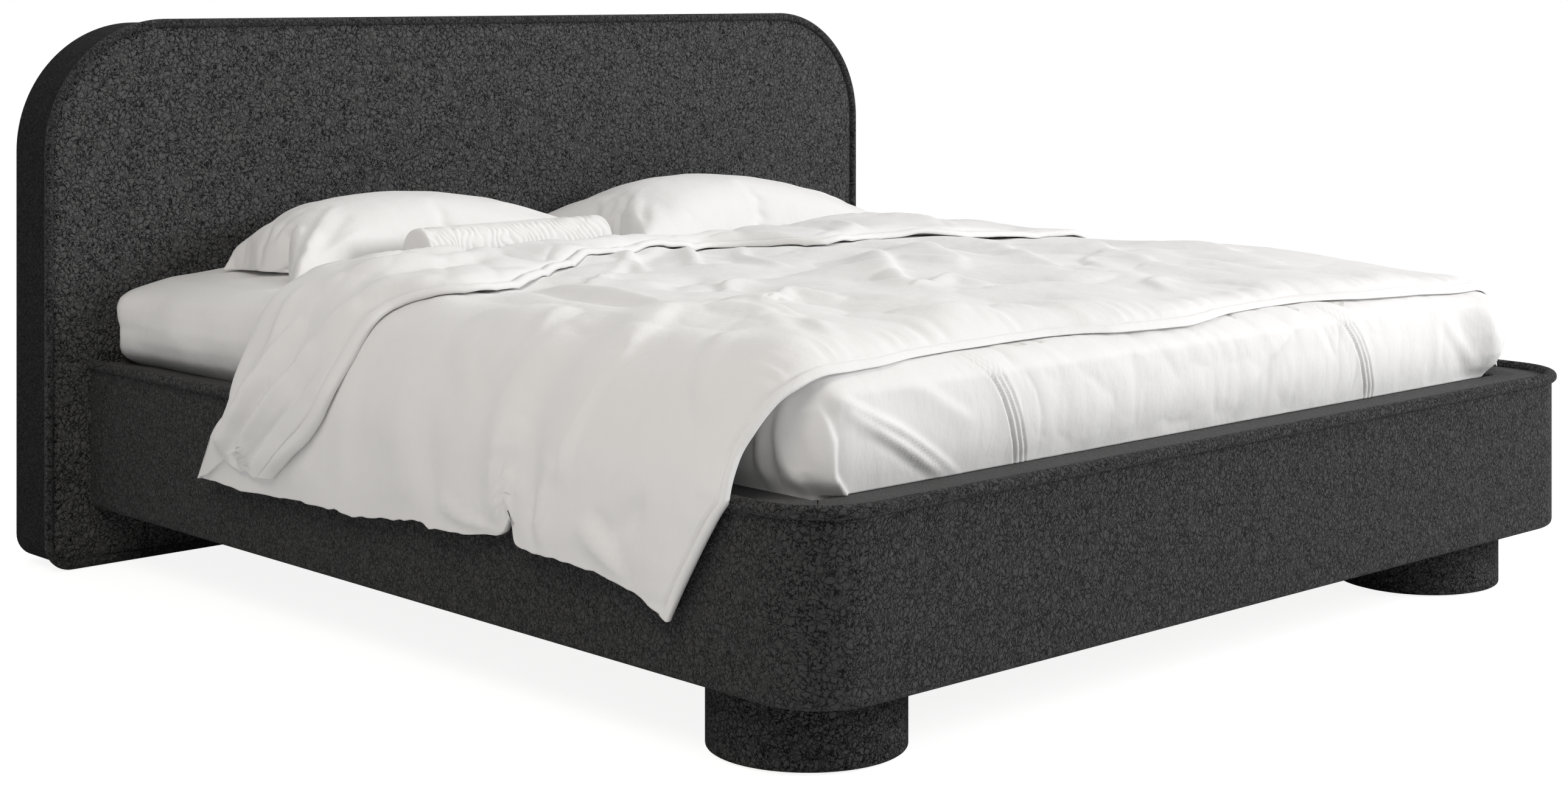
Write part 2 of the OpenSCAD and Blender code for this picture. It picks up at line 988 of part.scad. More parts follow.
// Tube with a plate on top and a threaded nut in its lower end
module centre_leg(y) {
    top = beam_bottom - steel_t;
    color("#2a2a2c")
        difference() {
            translate([0, y, 0]) {
                translate([0, 0, leg_bottom])
                    cylinder(h = top - leg_bottom, d = leg_d);
                translate([-leg_plate / 2, -leg_plate / 2, top])
                    cube([leg_plate, leg_plate, steel_t]);
            }
            translate([0, y, leg_bottom + nut_h])
                cylinder(h = top - leg_bottom - nut_h, r = leg_d / 2 - leg_wall);
            translate([0, y, leg_bottom - cut])
                cylinder(h = nut_h + 2 * cut, r = stem_d / 2 + stem_clear);
            leg_screw_places(y)
                translate([0, 0, -cut])
                    cylinder(h = steel_t + 2 * cut, r = screw_bore_r);
        }
}

module centre_leg_front() {
    centre_leg(leg_y_front);
}

module centre_leg_rear() {
    centre_leg(leg_y_rear);
}

module leg_screws() {
    color("#b8a46a")
        for (y = [leg_y_front, leg_y_rear])
            leg_screw_places(y)
                screw(leg_screw_reach);
}

// Pad, hexagon and threaded stem in one turned piece, profile from axis outwards
pad_rim_h = 4;
pad_h = 9;
pad_neck = 4;
hex_h = 8;
hex_share = 0.9;
stem_top = 88;

module levelling_foot(y) {
    color("#4a4a4e")
        translate([0, y, 0]) {
            rotate_extrude()
                polygon([
                    [0, 0],
                    [pad_d / 2, 0],
                    [pad_d / 2, pad_rim_h],
                    [stem_d / 2 + pad_neck, pad_h],
                    [0, pad_h]
                ]);
            translate([0, 0, pad_h])
                cylinder(h = hex_h, r = hex_share * stem_d, $fn = 6);
            translate([0, 0, pad_h + hex_h])
                cylinder(h = stem_top - pad_h - hex_h, d = stem_d);
        }
}

module levelling_foot_front() {
    levelling_foot(leg_y_front);
}

module levelling_foot_rear() {
    levelling_foot(leg_y_rear);
}

// Bowed slat seen from the foot: flat ends in the holders and a rise between them
slat_rise = [for (i = [0:slat_steps])
    let (x = slat_x0 + holder_depth + i * (slat_x1 - slat_x0 - 2 * holder_depth) / slat_steps)
    [x, slat_bow * pow(sin(180 * i / slat_steps), 2)]];

module slats(s) {
    low = concat([[slat_x0, 0]], slat_rise, [[slat_x1, 0]]);
    high = [for (i = [len(low) - 1:-1:0]) low[i] + [0, slat_t]];
    color("#dcc090")
        for (i = [0:slat_count - 1])
            translate([0, slat_y0 + i * slat_pitch + slat_w / 2, slat_z])
                mirror([s > 0 ? 0 : 1, 0, 0])
                    rotate([90, 0, 0])
                        linear_extrude(slat_w)
                            polygon(concat(low, high));
}

module slats_left() {
    slats(-1);
}

module slats_right() {
    slats(1);
}

// Plastic cap that takes a slat's end, its pocket open to the bed's middle
module outer_holder(s) {
    w = holder_depth + holder_wall;
    difference() {
        translate([s > 0 ? well_x - w : -well_x, -holder_w / 2, 0])
            cube([w, holder_w, holder_h]);
        translate([s > 0 ? well_x - w - cut : -slat_x1 - clear, -slat_w / 2 - clear, holder_base])
            cube([slat_x1 + clear - well_x + w + cut, slat_w + 2 * clear, slat_t + clear]);
    }
}

module slat_holders(s) {
    color("#26262a")
        for (i = [0:slat_count - 1])
            translate([0, slat_y0 + i * slat_pitch, ledger_top])
                outer_holder(s);
}

module slat_holders_left() {
    slat_holders(-1);
}

module slat_holders_right() {
    slat_holders(1);
}

// Double holders on the beam, with a web between the two slats' ends
module slat_holders_centre() {
    w = 2 * holder_depth + holder_wall;
    color("#26262a")
        for (i = [0:slat_count - 1])
            translate([0, slat_y0 + i * slat_pitch, beam_top])
                difference() {
                    translate([-w / 2, -holder_w / 2, 0])
                        cube([w, holder_w, holder_h]);
                    for (s = [-1, 1])
                        translate([
                            s > 0 ? holder_wall / 2 : -w,
                            -slat_w / 2 - clear,
                            holder_base
                        ])
                            cube([w - holder_wall / 2, slat_w + 2 * clear, slat_t + clear]);
                }
}

// Soft goods

// Points round a rounded rectangle about the mattress's centre
round_steps = 5;
function ring(half_w, half_l, r, z) = [
    for (q = [0:3])
        for (k = [0:round_steps])
            let (
                a = 90 * (q + k / round_steps),
                sx = q == 0 || q == 3 ? 1 : -1,
                sy = q < 2 ? 1 : -1
            )
            [sx * (half_w - r) + r * cos(a), mattress_y + sy * (half_l - r) + r * sin(a), z]
];
ring_n = 4 * (round_steps + 1);

// Ring of the mattress that lies inset from its side face
function mattress_ring(inset, z) =
    ring(mattress_w / 2 - inset, mattress_l / 2 - inset, mattress_corner_r - inset, z);

// Rings from the lower edge over the side to the top edge, grown by the offset o
edge_steps = 3;
function mattress_rings(o) = concat(
    [for (k = [0:edge_steps])
        let (a = 90 * k / edge_steps, r = mattress_low_r)
        mattress_ring(r - (r + o) * sin(a), mattress_z + r - (r + o) * cos(a))],
    [mattress_ring(mattress_waist - o, mattress_z + mattress_h / 2)],
    [for (k = [0:edge_steps])
        let (a = 90 * k / edge_steps, r = mattress_top_r)
        mattress_ring(r - (r + o) * cos(a), mattress_top - r + (r + o) * sin(a))]
);

// Triangles between ring i and ring i + 1, facing outwards
function band(i, n, first) = [
    for (j = [0:n - 1])
        let (k = (j + 1) % n, a = first + i * n, b = a + n)
        each [[a + j, b + j, b + k], [a + j, b + k, a + k]]
];

function flip(faces) = [for (f = faces) [f[2], f[1], f[0]]];

module mattress() {
    rings = mattress_rings(0);
    m = len(rings);
    points = concat(
        [for (r = rings) each r],
        [[0, mattress_y, mattress_z], [0, mattress_y, mattress_top]]
    );
    low = m * ring_n;
    top = (m - 1) * ring_n;
    color("#efefec")
        polyhedron(points, concat(
            [for (i = [0:m - 2]) each band(i, ring_n, 0)],
            [for (j = [0:ring_n - 1]) [low, j, (j + 1) % ring_n]],
            [for (j = [0:ring_n - 1]) [low + 1, top + (j + 1) % ring_n, top + j]]
        ), convexity = 4);
}

// Rings of one face of the fitted sheet, from the hem under the mattress to the top
function sheet_rings(o) = concat(
    [mattress_ring(sheet_hem, mattress_z - o)],
    mattress_rings(o)
);

module fitted_sheet() {
    outer = sheet_rings(clear + sheet_t);
    inner = sheet_rings(clear);
    m = len(outer);
    n = m * ring_n;
    top = n - ring_n;
    points = concat(
        [for (r = outer) each r],
        [for (r = inner) each r],
        [[0, mattress_y, bed_z], [0, mattress_y, mattress_top + clear]]
    );
    color("#f4f3f0")
        polyhedron(points, concat(
            [for (i = [0:m - 2]) each band(i, ring_n, 0)],
            flip([for (i = [0:m - 2]) each band(i, ring_n, n)]),
            [for (j = [0:ring_n - 1]) [2 * n, top + (j + 1) % ring_n, top + j]],
            [for (j = [0:ring_n - 1]) [2 * n + 1, n + top + j, n + top + (j + 1) % ring_n]],
            [for (j = [0:ring_n - 1])
                let (k = (j + 1) % ring_n)
                each [[j, k, n + k], [j, n + k, n + j]]]
        ), convexity = 6);
}

// A closed soft solid between an upper and a lower grid of (nu + 1) x (nv + 1) points
module quilt(upper, lower, nu, nv) {
    row = nv + 1;
    n = (nu + 1) * row;
    skin = [
        for (i = [0:nu - 1])
            for (j = [0:nv - 1])
                let (a = i * row + j, b = a + 1, c = a + row, d = c + 1)
                each [[a, b, d], [a, d, c]]
    ];
    rim = concat(
        [for (i = [0:nu]) i * row],
        [for (j = [1:nv]) nu * row + j],
        [for (i = [nu - 1:-1:0]) i * row + nv],
        [for (j = [nv - 1:-1:1]) j]
    );
    edge = [
        for (k = [0:len(rim) - 1])
            let (a = rim[k], b = rim[(k + 1) % len(rim)])
            each [[a, b, b + n], [a, b + n, a + n]]
    ];
    polyhedron(
        concat(upper, lower),
        concat(skin, flip([for (f = skin) f + [n, n, n]]), edge),
        convexity = 6
    );
}

function mix(a, b, t) = a + (b - a) * t;
function hold(x, low, high) = max(low, min(high, x));
function ease(t) = let (k = hold(t, 0, 1)) k * k * (3 - 2 * k);
function bump(x, centre, width) = exp(-pow((x - centre) / width, 2));

// Pillow: crowned, with sides drawn in between its corners and a seam round it
pillow_nu = 16;
pillow_nv = 12;
pillow_seam_z = 34;
pillow_seam_t = 4;
pillow_pull = 0.06;
pillow_low_fill = 1.5;

module pillow(s) {
    cx = s * pillow_x;
    cy = head_y - pillow_gap - pillow_l / 2;
    grid = [
        for (i = [0:pillow_nu])
            for (j = [0:pillow_nv])
                let (
                    u = sin(90 * (2 * i / pillow_nu - 1)),
                    v = sin(90 * (2 * j / pillow_nv - 1)),
                    swell = sqrt((1 - pow(u, 4)) * (1 - pow(v, 4)))
                )
                [
                    cx + pillow_w / 2 * u * (1 - pillow_pull * (1 - v * v)),
                    cy + pillow_l / 2 * v * (1 - pillow_pull * (1 - u * u)),
                    swell
                ]
    ];
    mid = rest_z + pillow_seam_z;
    color("#f6f5f2")
        quilt(
            [for (p = grid) [p.x, p.y, mid + mix(pillow_seam_t / 2, pillow_h - pillow_seam_z, p.z)]],
            [for (p = grid)
                let (fill = min(1, pillow_low_fill * p.z))
                [p.x, p.y, mid - mix(pillow_seam_t / 2, pillow_seam_z, fill)]],
            pillow_nu,
            pillow_nv
        );
}

module pillow_left() {
    pillow(-1);
}

module pillow_right() {
    pillow(1);
}

// Bolster: a roll with pleats round it and slightly domed ends
bolster_sides = 18;
pleat_depth = 2.5;
end_dome = 6;
end_share = 0.7;

module bolster() {
    r = bolster_d / 2;
    steps = 2 * pleats;
    profile = concat(
        [[-bolster_l / 2 - end_dome / 2, end_share * r]],
        [for (i = [0:steps])
            [bolster_l * (i / steps - 0.5), i % 2 == 0 ? r - pleat_depth : r]],
        [[bolster_l / 2 + end_dome / 2, end_share * r]]
    );
    m = len(profile);
    n = bolster_sides;
    points = concat(
        [for (p = profile)
            for (j = [0:n - 1])
                let (a = 360 * (j + 0.5) / n)
                [p[0], -p[1] * cos(a), p[1] * sin(a)]],
        [[-bolster_l / 2 - end_dome, 0, 0], [bolster_l / 2 + end_dome, 0, 0]]
    );
    translate([bolster_x, head_y - bolster_from_head, rest_z + r])
        color("#f2f1ee")
            polyhedron(points, concat(
                flip([for (i = [0:m - 2]) each band(i, n, 0)]),
                flip([for (j = [0:n - 1]) [m * n, j, (j + 1) % n]]),
                flip([for (j = [0:n - 1])
                    [m * n + 1, (m - 1) * n + (j + 1) % n, (m - 1) * n + j]])
            ), convexity = 4);
}

// Duvet: columns run across the bed from the near hem to the far one, and rows run from
// the foot edge to the flap's free edge, then over the flap to the fold at the head
duvet_nu = 28;
duvet_near_n = 9;
duvet_tent_n = 6;
duvet_far_n = 4;
duvet_body_n = 12;
duvet_nv = 20;
shoulder_out = 8;
welt_gap = 4;
far_overlap = 34;
shoulder_x = mattress_w / 2 - mattress_top_r + shoulder_out;
near_reach = bed_w / 2 + rim_welt_out + welt_gap - shoulder_x;
far_reach = well_x + far_overlap - shoulder_x;
welt_drop = rest_z - rim_welt_z;
foot_edge_y = mattress_y - mattress_l / 2 + mattress_top_r;
foot_edge_r = mattress_top_r + clear + sheet_t;
// Shares of reach and drop, from the mattress's edge out to the rail's welt
near_path = [[0, 0], [0.22, 0.06], [0.48, 0.18], [0.66, 0.36], [0.84, 0.6], [0.95, 0.82], [1, 1]];
// The same from the mattress's other edge down to the far rim
far_path = [[0, 0], [0.45, 0.07], [0.75, 0.28], [0.93, 0.62], [1, 1]];
// Width of the turned-down flap at distances from the bed's centre line
flap_widths = [
    [-900, 440], [-780, 405], [-560, 240], [-400, 150], [-200, 120], [0, 130],
    [180, 280], [330, 275], [600, 340], [900, 360]
];
corner_dip = 56;
corner_dip_from_foot = 300;
corner_dip_w = 110;
tip_dip = 22;
tip_dip_from_head = 470;
tip_dip_w = 60;
hem_ripple = 3;
hem_waves = 0.9;
fold_waves = 1.1;
foot_sweep = 160;
foot_sweep_power = 0.7;
head_sweep = 130;
flap_sweep = 270;
flap_lip = 4;
roll_r = 50;
edge_taper = 110;
flap_taper = 55;
flap_edge_share = 0.5;
body_row_power = 1.3;
flap_row_power = 1.5;
// How closely the duvet's foot edge follows the mattress's edge
edge_sag = 0.6;
top_ripple = 5;
ripple_x = 0.5;
ripple_y = 0.3;

// Steps of a column from the mattress's edge: negative near, positive far, 0 on top
function duvet_step(i) =
    i < duvet_near_n ? i - duvet_near_n : max(0, i - duvet_nu + duvet_far_n);

// How far a column hangs below the welt, from 0 to 1
function duvet_hang(i) =
    max(0, duvet_near_n - duvet_tent_n - i) / (duvet_near_n - duvet_tent_n);

function duvet_top_x(i) = mix(-shoulder_x, shoulder_x,
    hold((i - duvet_near_n) / (duvet_nu - duvet_near_n - duvet_far_n), 0, 1));

function path_point(path, k) =
    let (a = floor(k), b = min(a + 1, len(path) - 1))
    mix(path[a], path[b], k - a);

// Height of the near hem, lowest at its foot corner and at the flap's tip
function near_hem(y) = duvet_near_hem
    - corner_dip * bump(y, foot_y + corner_dip_from_foot, corner_dip_w)
    - tip_dip * bump(y, head_y - tip_dip_from_head, tip_dip_w)
    + hem_ripple * sin(hem_waves * y);

// Point of the lower face on column i, as X and Z
function duvet_section(i, y) =
    let (
        k = duvet_step(i),
        hang = duvet_hang(i),
        near = path_point(near_path, hold(-k, 0, duvet_tent_n)),
        far_side = path_point(far_path, hold(k, 0, duvet_far_n)),
        fall = foot_edge_y - max(y, foot_edge_y - foot_edge_r),
        dip = fall > 0 ? edge_sag * (foot_edge_r - sqrt(pow(foot_edge_r, 2) - pow(fall, 2))) : 0,
        swing = fold_depth * hang * (1 + sin(fold_waves * y))
    )
    k < 0 ? [
        -shoulder_x - near_reach * near.x - swing,
        hang > 0 ? mix(rim_welt_z, near_hem(y), hang) : rest_z - dip - (welt_drop - dip) * near.y
    ]
    : [
        duvet_top_x(i) + far_reach * far_side.x,
        rest_z - dip - (rest_z - dip - duvet_far_hem) * far_side.y
    ];

function duvet_foot_y(i) = foot_y + duvet_from_foot + foot_sweep * pow(duvet_hang(i), foot_sweep_power);
function duvet_head_y(i) = head_y - duvet_from_head + head_sweep * duvet_hang(i);
function duvet_flap_y(i) = duvet_head_y(i) - lookup(duvet_top_x(i), flap_widths)
    + flap_sweep * pow(max(0, -duvet_step(i)) / duvet_near_n, 2);

function duvet_y(i, j) =
    j <= duvet_body_n
    ? mix(duvet_foot_y(i), duvet_flap_y(i) - flap_lip, pow(j / duvet_body_n, body_row_power))
    : let (s = (j - duvet_body_n - 1) / (duvet_nv - duvet_body_n - 1))
    mix(duvet_flap_y(i) + flap_lip, duvet_head_y(i), 1 - pow(1 - s, flap_row_power));

// Thickness at a grid point: sewn edges are thin, the flap adds its own thickness, and
// the fold at the head is a roll
function duvet_fill(i, j) =
    let (
        y = duvet_y(i, j),
        side = ease(abs(duvet_step(i)) / duvet_far_n),
        edge = min(
            ease((y - duvet_foot_y(i)) / edge_taper),
            ease(min(i, duvet_nu - i) / 2)
        ),
        plain = mix(duvet_edge_t, mix(duvet_t, duvet_side_t, side), edge),
        lap = j > duvet_body_n ? mix(flap_t, flap_side_t, side) : 0,
        lap_edge = mix(flap_edge_share, 1, ease((y - duvet_flap_y(i)) / flap_taper)),
        roll = hold((duvet_head_y(i) - y) / roll_r, 0, 1)
    )
    max(duvet_edge_t, (plain + lap * lap_edge) * sqrt(1 - pow(1 - roll, 2)));

module duvet() {
    low = [
        for (i = [0:duvet_nu])
            for (j = [0:duvet_nv])
                let (y = duvet_y(i, j), p = duvet_section(i, y))
                [p.x, y, p.y]
    ];
    high = [
        for (i = [0:duvet_nu])
            for (j = [0:duvet_nv])
                let (
                    y = duvet_y(i, j),
                    a = duvet_section(max(i - 0.5, 0), y),
                    b = duvet_section(min(i + 0.5, duvet_nu), y),
                    p = duvet_section(i, y),
                    n = [a.y - b.y, b.x - a.x] / norm(b - a),
                    wave = sin(ripple_x * p.x + ripple_y * y) * sin(180 * j / duvet_nv),
                    ripple = top_ripple * wave,
                    t = duvet_fill(i, j) + (duvet_step(i) == 0 ? ripple : 0)
                )
                [p.x + t * n.x, y, p.y + t * n.y]
    ];
    color("#f3f2ee")
        quilt(high, low, duvet_nu, duvet_nv);
}

headboard_frame();
headboard_face_board();
headboard_foam();
headboard_front_cover();
headboard_band();
headboard_welt();
headboard_back_board();
headboard_back_cloth();
headboard_glides();
side_rail_core_left();
side_rail_core_right();
side_rail_cover_left();
side_rail_cover_right();
side_rail_welt_left();
side_rail_welt_right();
foot_rail_core();
corner_block_left();
corner_block_right();
foot_rail_cover();
foot_rail_welt();
corner_board_left();
corner_board_right();
drum_core_left();
drum_core_right();
drum_cover_left();
drum_cover_right();
drum_glide_left();
drum_glide_right();
drum_bolts();
bracket_head_left();
bracket_head_right();
bracket_foot_left();
bracket_foot_right();
bracket_bolts();
slat_ledger_left();
slat_ledger_right();
ledger_screws();
centre_beam();
beam_shoe_head();
beam_shoe_foot();
beam_bolts();
centre_leg_front();
centre_leg_rear();
leg_screws();
levelling_foot_front();
levelling_foot_rear();
slats_left();
slats_right();
slat_holders_left();
slat_holders_right();
slat_holders_centre();
mattress();
fitted_sheet();
duvet();
pillow_left();
pillow_right();
bolster();
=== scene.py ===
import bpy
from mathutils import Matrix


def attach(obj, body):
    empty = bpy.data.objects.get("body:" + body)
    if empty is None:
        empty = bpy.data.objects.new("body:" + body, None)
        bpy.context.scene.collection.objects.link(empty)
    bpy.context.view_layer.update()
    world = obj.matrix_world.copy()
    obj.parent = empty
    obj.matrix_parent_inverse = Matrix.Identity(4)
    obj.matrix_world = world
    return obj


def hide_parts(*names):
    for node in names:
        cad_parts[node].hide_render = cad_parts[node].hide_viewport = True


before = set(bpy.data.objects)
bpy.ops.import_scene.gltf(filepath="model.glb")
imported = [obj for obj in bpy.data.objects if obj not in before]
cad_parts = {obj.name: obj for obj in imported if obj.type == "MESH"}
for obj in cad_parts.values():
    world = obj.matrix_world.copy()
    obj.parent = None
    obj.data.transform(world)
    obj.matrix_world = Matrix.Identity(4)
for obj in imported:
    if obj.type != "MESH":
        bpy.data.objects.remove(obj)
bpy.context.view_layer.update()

import math

import bmesh
import bpy
import numpy as np
from mathutils import Vector

# CAMERA, LIGHT AND FLOOR
# A level camera stands off the foot end's left corner. A strong lamp lights the bed from
# its right, a warm one from over its left side, a weak one from above the far corner, and
# a faint low one fills the near side. The floor is plain white.
camera = bpy.data.objects.new("camera", bpy.data.cameras.new("camera"))
bpy.context.scene.collection.objects.link(camera)
bpy.context.scene.camera = camera
camera.location = (-3.6694, -3.8553, 1.1852)
camera.rotation_euler = (math.pi / 2, 0, -0.7485)
camera.data.sensor_width = 36
camera.data.lens = 59.99
camera.data.shift_x = 0.0102
camera.data.shift_y = -0.2602

for name, place, size, power, tint in [
    ("front_light", (4.1, -4.8, 2.8), 2.0, 304, (1.0, 1.0, 1.0)),
    ("left_light", (-3.6, -1.5, 4.3), 2.4, 84, (1.0, 0.94, 0.87)),
    ("top_light", (1.2, 1.6, 4.4), 2.0, 34, (1.0, 1.0, 1.0)),
    ("fill_light", (-4.7, -4.4, 1.2), 2.4, 11, (1.0, 0.97, 0.94)),
]:
    lamp = bpy.data.objects.new(name, bpy.data.lights.new(name, "AREA"))
    bpy.context.scene.collection.objects.link(lamp)
    lamp.data.size, lamp.data.energy, lamp.data.color = size, power, tint
    lamp.location = place
    aim = Vector((0, 0, 0.5)) - Vector(place)
    lamp.rotation_euler = aim.to_track_quat("-Z", "Y").to_euler()


class Wire:
    """An output of a material's node. Sums and products of wires add Math nodes."""

    def __init__(self, tree, socket):
        self.tree, self.socket = tree, socket

    def node(self, kind, settings, inputs, out=0):
        made = self.tree.nodes.new("ShaderNode" + kind)
        for name, value in settings.items():
            if name == "stops":
                while len(made.color_ramp.elements) < len(value):
                    made.color_ramp.elements.new(0.5)
                for element, (place, shade) in zip(made.color_ramp.elements, value):
                    element.position = place
                    element.color = (*shade, 1)
            else:
                setattr(made, name, value)
        for name, value in inputs.items():
            if isinstance(value, Wire):
                self.tree.links.new(value.socket, made.inputs[name])
            else:
                made.inputs[name].default_value = value
        return Wire(self.tree, made.outputs[out])

    def math(self, operation, first, second):
        return self.node("Math", {"operation": operation}, {0: first, 1: second})

    def __add__(self, other):
        return self.math("ADD", self, other)

    def __sub__(self, other):
        return self.math("SUBTRACT", self, other)

    def __rsub__(self, other):
        return self.math("SUBTRACT", other, self)

    def __mul__(self, other):
        return self.math("MULTIPLY", self, other)

    def __pow__(self, other):
        return self.math("POWER", self, other)

    __radd__, __rmul__ = __add__, __mul__

    def rise(self, low, high):
        """0 below low and 1 above high, with a soft step between them."""
        return self.node(
            "MapRange",
            {"interpolation_type": "SMOOTHSTEP"},
            {"Value": self, "From Min": low, "From Max": high},
        )

    def tint(self, dark, light):
        """A colour between two colours, by this wire."""
        return self.node(
            "Mix", {"data_type": "RGBA"}, {0: self, 6: (*dark, 1), 7: (*light, 1)}, 2
        )

    def moved(self, scale, by=(0, 0, 0)):
        return self.node("Mapping", {}, {0: self, 1: by, 3: scale})

    def noise(self, scale, detail=2.0, roughness=0.5, out=0):
        return self.node(
            "TexNoise", {}, {0: self, "Scale": scale, "Detail": detail, "Roughness": roughness}, out
        )

    def cells(self, scale, feature="F1"):
        return self.node("TexVoronoi", {"feature": feature}, {"Vector": self, "Scale": scale})

    def warped(self, scale, by):
        """Coordinates pushed about by a coloured noise."""
        push = self.node(
            "VectorMath",
            {"operation": "SCALE"},
            {0: self.noise(scale, out=1), "Scale": by},
        )
        return self.node("VectorMath", {"operation": "ADD"}, {0: self, 1: push})


bpy.context.scene.view_settings.view_transform = "Standard"
world = bpy.data.worlds.new("surroundings")
bpy.context.scene.world = world
world.use_nodes = True
backdrop = world.node_tree.nodes["Background"]
backdrop.inputs["Color"].default_value = (1, 1, 1, 1)
rays = world.node_tree.nodes.new("ShaderNodeLightPath").outputs
seen, mirrored, seen_through = (
    Wire(world.node_tree, rays[f"Is {kind} Ray"]) for kind in ("Camera", "Glossy", "Transmission")
)
shown = seen.math("MAXIMUM", seen.math("MAXIMUM", seen, mirrored), seen_through)
strength = shown.node("MapRange", {}, {"Value": shown, "To Min": 0.30, "To Max": 1.0})
world.node_tree.links.new(strength.socket, backdrop.inputs["Strength"])

bpy.ops.object.select_all(action="DESELECT")
bpy.ops.mesh.primitive_plane_add(size=60, location=(0, 0, 0))
floor = bpy.context.object
floor.name = "floor"
floor_paint = bpy.data.materials.new("floor_paint")
floor_paint.use_nodes = True
tree = floor_paint.node_tree
paint = tree.nodes["Principled BSDF"]
paint.inputs["Base Color"].default_value = (0.86, 0.86, 0.86, 1)
paint.inputs["Roughness"].default_value = 0.9
seen = Wire(tree, tree.nodes.new("ShaderNodeLightPath").outputs["Is Camera Ray"])
glow = seen.node("Emission", {}, {"Color": (1, 1, 1, 1), "Strength": 1.42})
mix = seen.node("MixShader", {}, {0: seen * 0.62, 1: Wire(tree, paint.outputs[0]), 2: glow})
tree.links.new(mix.socket, tree.nodes["Material Output"].inputs["Surface"])
floor.data.materials.append(floor_paint)


# HEADBOARD FRONT
# Looped wool fabric over a foam pad. Its edge is sewn into the welt, so the face is
# slightly crowned and dips towards the sewn edge.
def surface(name, make, **fixed):
    """A material whose make function gets Object coordinates and returns its links."""
    made = bpy.data.materials.new(name)
    made.use_nodes = True
    tree = made.node_tree
    shader = tree.nodes["Principled BSDF"]
    for socket, value in fixed.items():
        shader.inputs[socket.replace("_", " ")].default_value = value
    place = tree.nodes.new("ShaderNodeTexCoord").outputs["Object"]
    colour, roughness, height, depth = make(Wire(tree, place))
    tree.links.new(colour.socket, shader.inputs["Base Color"])
    if isinstance(roughness, Wire):
        tree.links.new(roughness.socket, shader.inputs["Roughness"])
    else:
        shader.inputs["Roughness"].default_value = roughness
    bump = height.node("Bump", {}, {"Strength": 1.0, "Distance": depth, "Height": height})
    tree.links.new(bump.socket, shader.inputs["Normal"])
    return made


def looped(scale, loop_colour, depth, flat_from=None):
    """Curled wool loops, uneven, with painted shade in the thin gaps between them; rubbed down above
    flat_from.
    """

    def make(place):
        curled = place.warped(scale * 0.6, 2.2 / scale).warped(scale * 1.7, 1.1 / scale)
        edge = curled.cells(scale, "DISTANCE_TO_EDGE")
        small = place.warped(scale * 2.0, 0.6 / scale).cells(scale * 2.1, "DISTANCE_TO_EDGE")
        fibre = place.noise(scale * 9, 3.0)
        patch = place.noise(scale * 0.3, 3.0)
        broken = place.noise(scale * 0.55, 2.0).rise(0.30, 0.50)
        # The colour falls towards near black in the thin gaps between the loops: painted shade where
        # the loops shade each other.
        painted_gap_shade = 1 - (1 - edge.rise(0.02, 0.13)) * (0.55 + 0.45 * broken)
        painted_gap_shade = painted_gap_shade * (0.84 + 0.16 * small.rise(0.0, 0.14))
        height = edge.rise(0.0, 0.34) * 0.9 + small.rise(0.0, 0.3) * 0.3 + fibre * 0.15
        if flat_from:
            # Above flat_from the bump flattens and the painted gap shade gives way to an even tone.
            up = place.node("SeparateXYZ", {}, {0: place}, 2)
            worn = 0.75 * up.rise(flat_from, flat_from + 0.003)
            painted_gap_shade = painted_gap_shade * (1 - worn) + 0.86 * worn
            height = height * (1 - worn) + fibre * 0.2
        shade = painted_gap_shade * (0.80 + 0.3 * fibre) + (patch - 0.5) * 0.12
        return shade.tint((0.001, 0.001, 0.002), loop_colour), 0.95, height, depth

    return make


open_pile = {"Sheen_Weight": 0.1, "Sheen_Roughness": 0.5, "Specular_IOR_Level": 0.08}
band_drum_pile = {"Specular_IOR_Level": 0.12}
boucle = surface("looped_wool", looped(88, (0.128, 0.128, 0.130), 0.0056), **open_pile)

board_w, board_top, board_low = 2.284, 1.110, 0.010
board_top_r, board_low_r = 0.263, 0.050
board_y = 1.000
seam_inset = 0.004


def chosen(obj, test):
    """Selects the vertices of obj, in edit mode, that pass a test of their place."""
    mesh = bmesh.from_edit_mesh(obj.data)
    for part in (mesh.verts, mesh.edges, mesh.faces):
        for one in part:
            one.select = False
    for vert in mesh.verts:
        if test(vert.co):
            vert.select = True
    mesh.select_flush(True)
    bmesh.update_edit_mesh(obj.data)


def board_plate(name, y, inset):
    """A flat plate with the headboard's outline, facing the foot end, in edit mode."""
    bpy.ops.object.select_all(action="DESELECT")
    bpy.ops.mesh.primitive_plane_add(
        size=1, location=(0, y, (board_top + board_low) / 2), rotation=(math.pi / 2, 0, 0)
    )
    plate = bpy.context.object
    plate.name = plate.data.name = name
    plate.scale = (board_w - 2 * inset, board_top - board_low - 2 * inset, 1)
    bpy.ops.object.transform_apply(location=True, rotation=True, scale=True)
    bpy.ops.object.mode_set(mode="EDIT")
    bpy.ops.mesh.select_mode(type="VERT")
    for low, high, radius, steps in [(0.6, 2, board_top_r, 32), (-1, 0.2, board_low_r, 10)]:
        chosen(plate, lambda co: low < co.z < high)
        bpy.ops.mesh.bevel(
            offset=radius - inset, segments=steps, affect="VERTICES", clamp_overlap=False
        )
    return plate


def picked(obj):
    """Selects obj alone and makes it active."""
    bpy.ops.object.select_all(action="DESELECT")
    obj.select_set(True)
    bpy.context.view_layer.objects.active = obj


def soft_edges(obj, angle):
    """Smooth shading, broken where faces meet at more than an angle in degrees."""
    picked(obj)
    bpy.ops.object.shade_smooth_by_angle(angle=math.radians(angle))


def applied(obj, kind, **settings):
    """Adds a modifier to obj and applies it."""
    picked(obj)
    made = obj.modifiers.new(kind.lower(), kind)
    for name, value in settings.items():
        setattr(made, name, value)
    bpy.ops.object.modifier_apply(modifier=made.name)


